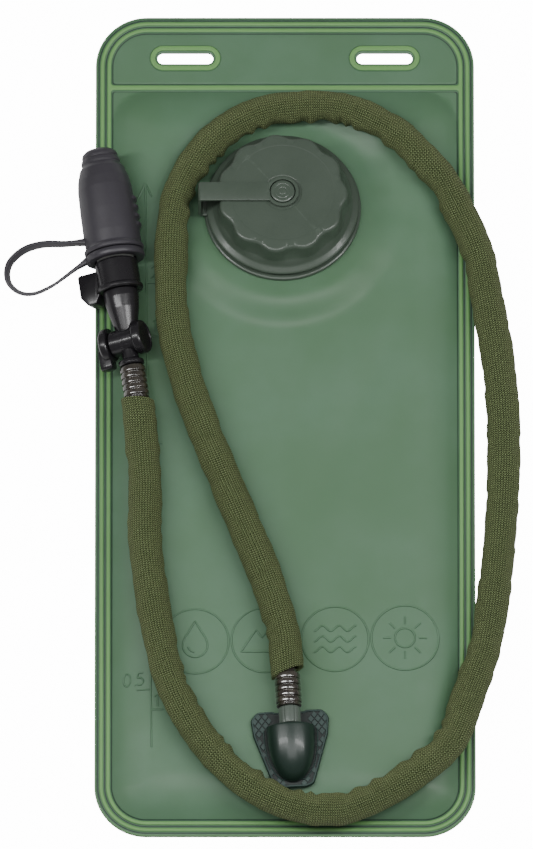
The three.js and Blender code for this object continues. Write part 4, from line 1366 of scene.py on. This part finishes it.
def cover_part():
    """The rubber cover: a bead at its foot, a bowed wall with four grip ribs, a shoulder and a domed tip."""
    profile = [
        (10.8, 4.6), (14.5, 4.6, 0.5), (15.0, 5.2, 0.6), (15.0, 6.6, 0.6), (14.3, 7.5, 0.4),
        (14.05, 8.2, 0.3), (14.25, 14, 4), (14.1, 26, 6), (13.6, 38, 5), (12.9, 43, 3), (11.2, 48.6, 2),
        (9.75, 50.6, 0.4), (9.55, 51.3, 0.2), (9.9, 51.9, 0.3), (9.6, 53.6, 0.4), (8.75, 54.2, 0.2),
        (8.75, 54.7, 0.2), (9.1, 55.2, 0.3), (8.6, 57.0, 1), (6.8, 58.5, 1.5), (3, 59.1), (0, 59.15),
    ]
    inner = [
        (0, 47), (8.5, 46, 1.5), (11, 41, 2), (12, 36, 2), (12.2, 14, 2), (10.8, 7.5, 0.5), (10.8, 4.6),
    ]

    def grips(angle, radius, height):
        ribs = sum(np.exp(-(((height - h) / 1.05) ** 4)) for h in (17.0, 21.6, 26.2, 30.8))
        side = smooth(0.5, 0.3, np.abs((angle + math.pi) % (2 * math.pi) - math.pi))
        return radius + 1.25 * ribs * side * smooth(12.8, 13.4, radius), height

    outside = rounded(profile, 0.3, 4)
    dense = []
    for a, b in zip(outside, outside[1:]):
        pieces = max(1, int(abs(b[1] - a[1]) / 0.5))
        dense += [a + (b - a) * k / pieces for k in range(pieces)]
    loop = np.vstack([dense, outside[-1:], rounded(inner, 0.3, 3)[:-1]])
    points, faces = revolved(loop, COVER_SEGMENTS, grips)
    last = len(points) - COVER_SEGMENTS
    for i in range(COVER_SEGMENTS):
        j = (i + 1) % COVER_SEGMENTS
        faces.append((last + i, i, j, last + j))
    return along_y((points, faces))


LEASH_LEAN = 0.45  # how far the leash leans outwards at the middle of its loop, in radians
LEASH_LINE = [
    (-14.0, 2.6), (-22, -1.6), (-33, -7.6), (-43, -10.5), (-50.5, -8.5), (-54.8, -2), (-53, 6.5),
    (-45, 12.6), (-35, 14.4), (-24, 13), (-13.5, 12.4),
]


def smooth_line(points, count):
    """An even, smooth line through points, in their plane."""
    p = np.array(points, float)
    p = np.vstack([2 * p[0] - p[1], p, 2 * p[-1] - p[-2]])
    t = np.linspace(0, 1, 24, endpoint=False)[:, None]
    dense = []
    for a, b, c, d in zip(p, p[1:], p[2:], p[3:]):
        square, cube = 2 * a - 5 * b + 4 * c - d, 3 * b - a - 3 * c + d
        dense.append(0.5 * (2 * b + (c - a) * t + square * t**2 + cube * t**3))
    return evened(np.vstack([*dense, p[-2:-1]]), count)


def leash_part():
    """The flat leash: it stands on its edge, leans at its far end, and has a thicker root at each end."""
    line = smooth_line(LEASH_LINE, 120)
    path = np.column_stack([line, np.zeros(len(line))])
    section = rounded([(-0.85, -2.4), (0.85, -2.4), (0.85, 2.4), (-0.85, 2.4)], 0.5, 3, closed=True)
    t = np.linspace(0, 1, len(line))
    root = 1 + 0.7 * (smooth(0.07, 0, t) + smooth(0.93, 1, t))
    sections = section[None] * np.stack([root, 1 + 0.15 * (root - 1)], 1)[:, None, :]
    lean = LEASH_LEAN * np.sin(math.pi * t)
    across, up = sections[..., 0], sections[..., 1]
    turn_cos, turn_sin = np.cos(lean)[:, None], np.sin(lean)[:, None]
    sections = np.stack([across * turn_cos - up * turn_sin, across * turn_sin + up * turn_cos], 2)
    return swept(path, sections)


# ---------------------------------------------------------------- operators


VIEW_CENTRE = (-0.00925, 0.0008, 0.0)
FLOOR_HALF = 20.0
FLOOR_GLOW = 14.0  # how brightly the camera sees the floor


class HYDRATION_OT_stage(bpy.types.Operator):
    """Camera, pale floor and soft studio light."""

    bl_idname = "hydration.stage"
    bl_label = "Stage"

    def execute(self, context):
        studio = context.scene.hydration_studio
        target = Vector(VIEW_CENTRE)
        back = Vector((0, -math.cos(studio.elevation), math.sin(studio.elevation)))
        data = bpy.data.cameras.new("camera")
        data.lens = data.sensor_width * studio.distance / studio.view_height
        camera = bpy.data.objects.new("camera", data)
        camera.location = target + back * studio.distance
        camera.rotation_mode = "QUATERNION"
        camera.rotation_quaternion = (-back).to_track_quat("-Z", "Y")
        data.clip_end = 40
        context.scene.collection.objects.link(camera)
        context.scene.camera = camera
        self.floor(context)
        for side in (-1, 1):
            self.lamp(context, f"strip_{side}", (0.85 * side, -0.05, 1.35), (0.15, 1.2), studio.strip_power)
        self.lamp(context, "overhead", (0.0, -0.35, 1.7), (1.0, 0.8), studio.overhead_power)
        self.sky(context, studio.sky)
        return {"FINISHED"}

    def floor(self, context):
        count = 8
        axis = np.linspace(-FLOOR_HALF, FLOOR_HALF, count + 1)
        x, y = np.meshgrid(axis, axis)
        data = bpy.data.meshes.new("floor")
        points = np.column_stack([x.ravel(), y.ravel(), np.full(x.size, -0.0002)])
        row = count + 1
        faces = [
            (j * row + i, j * row + i + 1, (j + 1) * row + i + 1, (j + 1) * row + i)
            for j in range(count) for i in range(count)
        ]
        data.from_pydata(points.tolist(), [], faces)
        f = Finish("floor", Roughness=0.9)
        f.shader.inputs["Emission Color"].default_value = (1, 1, 1, 1)
        seen = f.add("ShaderNodeLightPath", "Is Camera Ray")
        f.feed(f.shader, {"Emission Strength": f.maths("MULTIPLY", seen, FLOOR_GLOW)})
        cloud = f.ramp(f.noise(1.5), 0.3, 0.7)
        data.materials.append(f.done(Base_Color=f.mix(cloud, (0.9, 0.9, 0.9), (0.86, 0.86, 0.86))))
        obj = bpy.data.objects.new("floor", data)
        context.scene.collection.objects.link(obj)

    def lamp(self, context, name, spot, size, power):
        light = bpy.data.lights.new(name, "AREA")
        light.shape = "RECTANGLE"
        light.size, light.size_y = size
        light.energy = power
        lamp = bpy.data.objects.new(name, light)
        lamp.location = spot
        lamp.rotation_euler = (-Vector(spot)).to_track_quat("-Z", "Y").to_euler()
        context.scene.collection.objects.link(lamp)

    def sky(self, context, strength):
        world = bpy.data.worlds.new("studio")
        world.use_nodes = True
        background = world.node_tree.nodes["Background"]
        background.inputs["Color"].default_value = (1, 1, 1, 1)
        background.inputs["Strength"].default_value = strength
        context.scene.world = world


class HYDRATION_OT_hose(bpy.types.Operator):
    """The drinking hose, its knitted sleeve and the ribbed cuffs on its ends."""

    bl_idname = "hydration.hose"
    bl_label = "Hose and sleeve"

    def execute(self, context):
        part, course, sides = sleeve_part()
        sleeve = add_piece("knitted_sleeve", part, finish("sleeve knit"), IN_METRES, 80)
        stitch_map(sleeve, course, sides)
        stand_for(sleeve, "bladder", "sleeve_knit", "hose_sleeve")
        line, _ = hose_line(400)
        rod = swept(line, circle_section(HOSE_RADIUS, 24))
        tube = add_piece("drinking_hose", rod, finish("hose tube"), IN_METRES)
        stand_for(tube, "bladder", "hose_tube", "hose")
        outlet_cuff = add_piece("outlet_cuff", cuff_part(9.3), finish("smoky cuff"), SOCKET)
        stand_for(outlet_cuff, "bladder", "hose_tube", "outlet_hose_cuff")
        valve_cuff = add_piece("valve_cuff", cuff_part(-17.8), finish("smoky cuff"), SHUTOFF)
        stand_for(valve_cuff, "bladder", "hose_tube", "valve_hose_cuff")
        return {"FINISHED"}


class HYDRATION_OT_sheets(bpy.types.Operator):
    """The welded front and back films."""

    bl_idname = "hydration.sheets"
    bl_label = "Film sheets"

    def execute(self, context):
        points, faces = sheet_grid()
        top, raised = front_height(points[:, 0], points[:, 1])
        bottom = np.minimum(np.maximum(top - sizes().film / MM, UNDERSIDE), top - THINNEST_FILM)
        part, used = sheet_part(points, faces, top, bottom, [in_slot, in_mouth])
        film = add_piece("front_film", part, finish("film"), WORLD_MM, 60)
        # The front film's ridges take the paler colour with painted highlight, its grooves the dark colour
        # with painted shade.
        mark_raised(film, np.concatenate([raised[used], raised[used]]))
        stand_for(film, "bladder", "film", "front_sheet")
        edge = outline_inset(points[:, 0], points[:, 1])
        at, lift, mark = np.array(BORDER_PROFILE).T
        under = 0.02 + 0.28 * (1 - np.clip(np.interp(edge, at, mark) * 1.6, 0, 1)) * smooth(9.5, 8, edge)
        part, used = sheet_part(points, faces, np.full(len(points), BACK_TOP), under, [in_slot])
        back = add_piece("back_film", part, finish("film"), WORLD_MM, 60)
        mark = np.interp(edge, at, mark)[used]
        # The back film's border takes the same painted highlight on its ridges and painted shade in its
        # grooves.
        mark_raised(back, np.concatenate([mark, mark]))
        stand_for(back, "bladder", "film", "back_sheet")
        return {"FINISHED"}


class HYDRATION_OT_slot_rims(bpy.types.Operator):
    """The raised eyelets of the two hanging slots."""

    bl_idname = "hydration.slot_rims"
    bl_label = "Hanging slot rims"

    def execute(self, context):
        for side, (x, y) in zip(("left", "right"), SLOTS):
            rim = add_piece(f"{side}_slot_rim", slot_rim(x, y), finish("film"), WORLD_MM)
            heights = np.array([v.co.z for v in rim.data.vertices]) / MM
            # Painted highlight: the rim's crest takes the paler ridge colour; painted shade: its foot by the
            # film takes the dark groove colour.
            mark_raised(rim, 0.15 + 0.85 * smooth(1.9, 2.6, heights) - 0.15 * smooth(1.6, 1.2, heights))
            stand_for(rim, "bladder", "film")
        return {"FINISHED"}


class HYDRATION_OT_marks(bpy.types.Operator):
    """The moulded fill scale and badges on the front film."""

    bl_idname = "hydration.marks"
    bl_label = "Moulded marks"

    def execute(self, context):
        beads = gathered(*[mark_part(line) for line in mark_lines()])
        marks = add_piece("film_marks", beads, finish("film"), WORLD_MM, 60)
        # Painted shade: each bead's foot takes the film's dark groove colour; its crest keeps the film's body
        # colour.
        across = [0.0, 0.0, 0.1, 0.5, 0.1, 0.0, 0.0]
        mark_raised(marks, np.tile(across, len(marks.data.vertices) // len(across)))
        stand_for(marks, "bladder", "film")
        return {"FINISHED"}


class HYDRATION_OT_port(bpy.types.Operator):
    """The filling neck and the one-piece tether that holds the cap."""

    bl_idname = "hydration.port"
    bl_label = "Filling port"

    def execute(self, context):
        neck = add_piece("filling_neck", gathered(neck_part(), thread_part()), finish("port plastic"), PORT)
        stand_for(neck, "bladder", "port_plastic", "fill_port_neck")
        ring = flat_ring(29.8, 36.5, 2.8, 4.6, 0.4, 96)
        eye = flat_ring(6.5, 8.15, 21.3, 22.9, 0.35, 72)
        hole = revolved([(0, 20), (6.5, 20), (6.5, 24), (0, 24)], 72)
        tether = join_parts("cap_tether", [ring, tether_strip(), eye], [hole], finish("port plastic"), PORT)
        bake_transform(tether)
        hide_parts("tether_neck_ring", "tether_strap")
        return {"FINISHED"}


class HYDRATION_OT_cap(bpy.types.Operator):
    """The screw cap and the button that holds the tether's eye."""

    bl_idname = "hydration.cap"
    bl_label = "Cap"

    def execute(self, context):
        cap = add_piece("screw_cap", cap_part(), finish("port plastic"), PORT, 45)
        stand_for(cap, "cap", "port_plastic", "cap")
        button = add_piece("tether_button", button_part(), finish("port plastic"), PORT)
        stand_for(button, "cap", "port_plastic", "cap_button")
        return {"FINISHED"}


class HYDRATION_OT_outlet(bpy.types.Operator):
    """The outlet's cross-hatched plate, its dome and the hose plug."""

    bl_idname = "hydration.outlet"
    bl_label = "Outlet"

    def execute(self, context):
        plate = add_piece("hatched_plate", plate_part(), finish("plate plastic"), OUTLET, 30)
        heights = np.array([v.co.z for v in plate.data.vertices]) / MM - OUTLET.translation.z / MM
        # Points above the ground are marked for the paler top colour, a painted highlight; the ground between
        # gets painted shade.
        mark_raised(plate, smooth(2.3, 2.6, heights))
        stand_for(plate, "bladder", "outlet_plate", "outlet_plate")
        dome = add_piece("dome", dome_part(), finish("dome plastic"), OUTLET, 50)
        stand_for(dome, "bladder", "outlet_dome", "outlet_dome")
        plug = add_piece("plug_collar", plug_part(), finish("plug plastic"), SOCKET)
        stand_for(plug, "bladder", "outlet_dome", "hose_plug")
        return {"FINISHED"}


class HYDRATION_OT_shutoff(bpy.types.Operator):
    """The shut-off's body with its barrel and marks, and the lever."""

    bl_idname = "hydration.shutoff"
    bl_label = "Shut-off"

    def execute(self, context):
        barrel, cuts = barrel_parts()
        body = join_parts("valve_body", [stem_part(), *barrel], cuts, finish("valve plastic"), SHUTOFF)
        stand_for(body, "bladder", "valve_plastic", "shutoff_body")
        marks = add_piece("barrel_marks", barrel_marks(), finish("valve plastic"), SHUTOFF)
        stand_for(marks, "bladder", "valve_plastic")
        lever = join_parts("valve_lever", knob_solids(), [], finish("valve plastic"), SHUTOFF)
        stand_for(lever, "shutoff", "valve_plastic", "shutoff_lever")
        return {"FINISHED"}


class HYDRATION_OT_bite_valve(bpy.types.Operator):
    """The swivel collar, mouthpiece, cover and its leash."""

    bl_idname = "hydration.bite_valve"
    bl_label = "Bite valve"

    def execute(self, context):
        collar = join_parts("collar", collar_solids(), [], finish("valve plastic"), SHUTOFF)
        stand_for(collar, "bite_valve", "valve_plastic", "swivel_collar")
        tip = add_piece("silicone_mouthpiece", mouthpiece_part(), finish("silicone"), BITE, 60)
        stand_for(tip, "bite_valve", "silicone", "mouthpiece")
        corners = [(10.4, 0.5), (14.7, 0.5, 1.0), (14.9, 2.4, 0.8), (14.5, 4.2, 1.0), (10.4, 4.2)]
        loop = along_y(revolved(rounded(corners, 0.4, 4, closed=True), 96, loop=True))
        ring = add_piece("leash_loop", loop, finish("soft rubber"), BITE)
        stand_for(ring, "bite_valve", "black_rubber", "leash_ring")
        cover = add_piece("rubber_cover", cover_part(), finish("soft rubber"), BITE, 60)
        stand_for(cover, "cover", "black_rubber", "bite_valve_cover")
        leash = add_piece("leash", leash_part(), finish("soft rubber"), BITE)
        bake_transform(leash)
        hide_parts("cover_leash")
        return {"FINISHED"}


class HYDRATION_OT_inner_parts(bpy.types.Operator):
    """Finishes for the seals, spindle and mouthpiece core that stay as designed."""

    bl_idname = "hydration.inner_parts"
    bl_label = "Inner parts"

    def execute(self, context):
        rubber = ["cap_seal", "spigot_o_ring"]
        rubber += [f"{place}_o_ring_{i}" for place in ("plug", "spindle") for i in (1, 2)]
        plastic = ["shutoff_spindle", "mouthpiece_core"]
        for names, look in ((rubber, "soft rubber"), (plastic, "valve plastic")):
            for name in names:
                node = frame["nodes"][name]
                node.data.materials.clear()
                node.data.materials.append(finish(look))
        return {"FINISHED"}


OPERATORS = (
    HYDRATION_OT_stage, HYDRATION_OT_hose, HYDRATION_OT_sheets, HYDRATION_OT_slot_rims, HYDRATION_OT_marks,
    HYDRATION_OT_port, HYDRATION_OT_cap, HYDRATION_OT_outlet, HYDRATION_OT_shutoff, HYDRATION_OT_bite_valve,
    HYDRATION_OT_inner_parts,
)


class HYDRATION_PT_panel(bpy.types.Panel):
    """Lists the bladder's pieces."""

    bl_idname = "HYDRATION_PT_panel"
    bl_label = "Hydration Bladder"
    bl_space_type = "VIEW_3D"
    bl_region_type = "UI"
    bl_category = "Hydration"

    def draw(self, context):
        for operator in OPERATORS:
            self.layout.operator(operator.bl_idname)
        for group in ("hydration_sizes", "hydration_colours", "hydration_studio"):
            settings = getattr(context.scene, group)
            box = self.layout.box()
            for key in settings.__annotations__:
                box.prop(settings, key)


GROUPS = {
    "hydration_sizes": HydrationSizes,
    "hydration_colours": HydrationColours,
    "hydration_studio": HydrationStudio,
}


def register():
    for cls in (*GROUPS.values(), *OPERATORS, HYDRATION_PT_panel):
        bpy.utils.register_class(cls)
    for name, cls in GROUPS.items():
        setattr(bpy.types.Scene, name, bpy.props.PointerProperty(type=cls))


def unregister():
    for name in GROUPS:
        delattr(bpy.types.Scene, name)
    for cls in (HYDRATION_PT_panel, *reversed(OPERATORS), *reversed(GROUPS.values())):
        bpy.utils.unregister_class(cls)


def main():
    register()
    for operator in OPERATORS:
        group, name = operator.bl_idname.split(".")
        getattr(getattr(bpy.ops, group), name)()


if __name__ == "__main__":
    main()
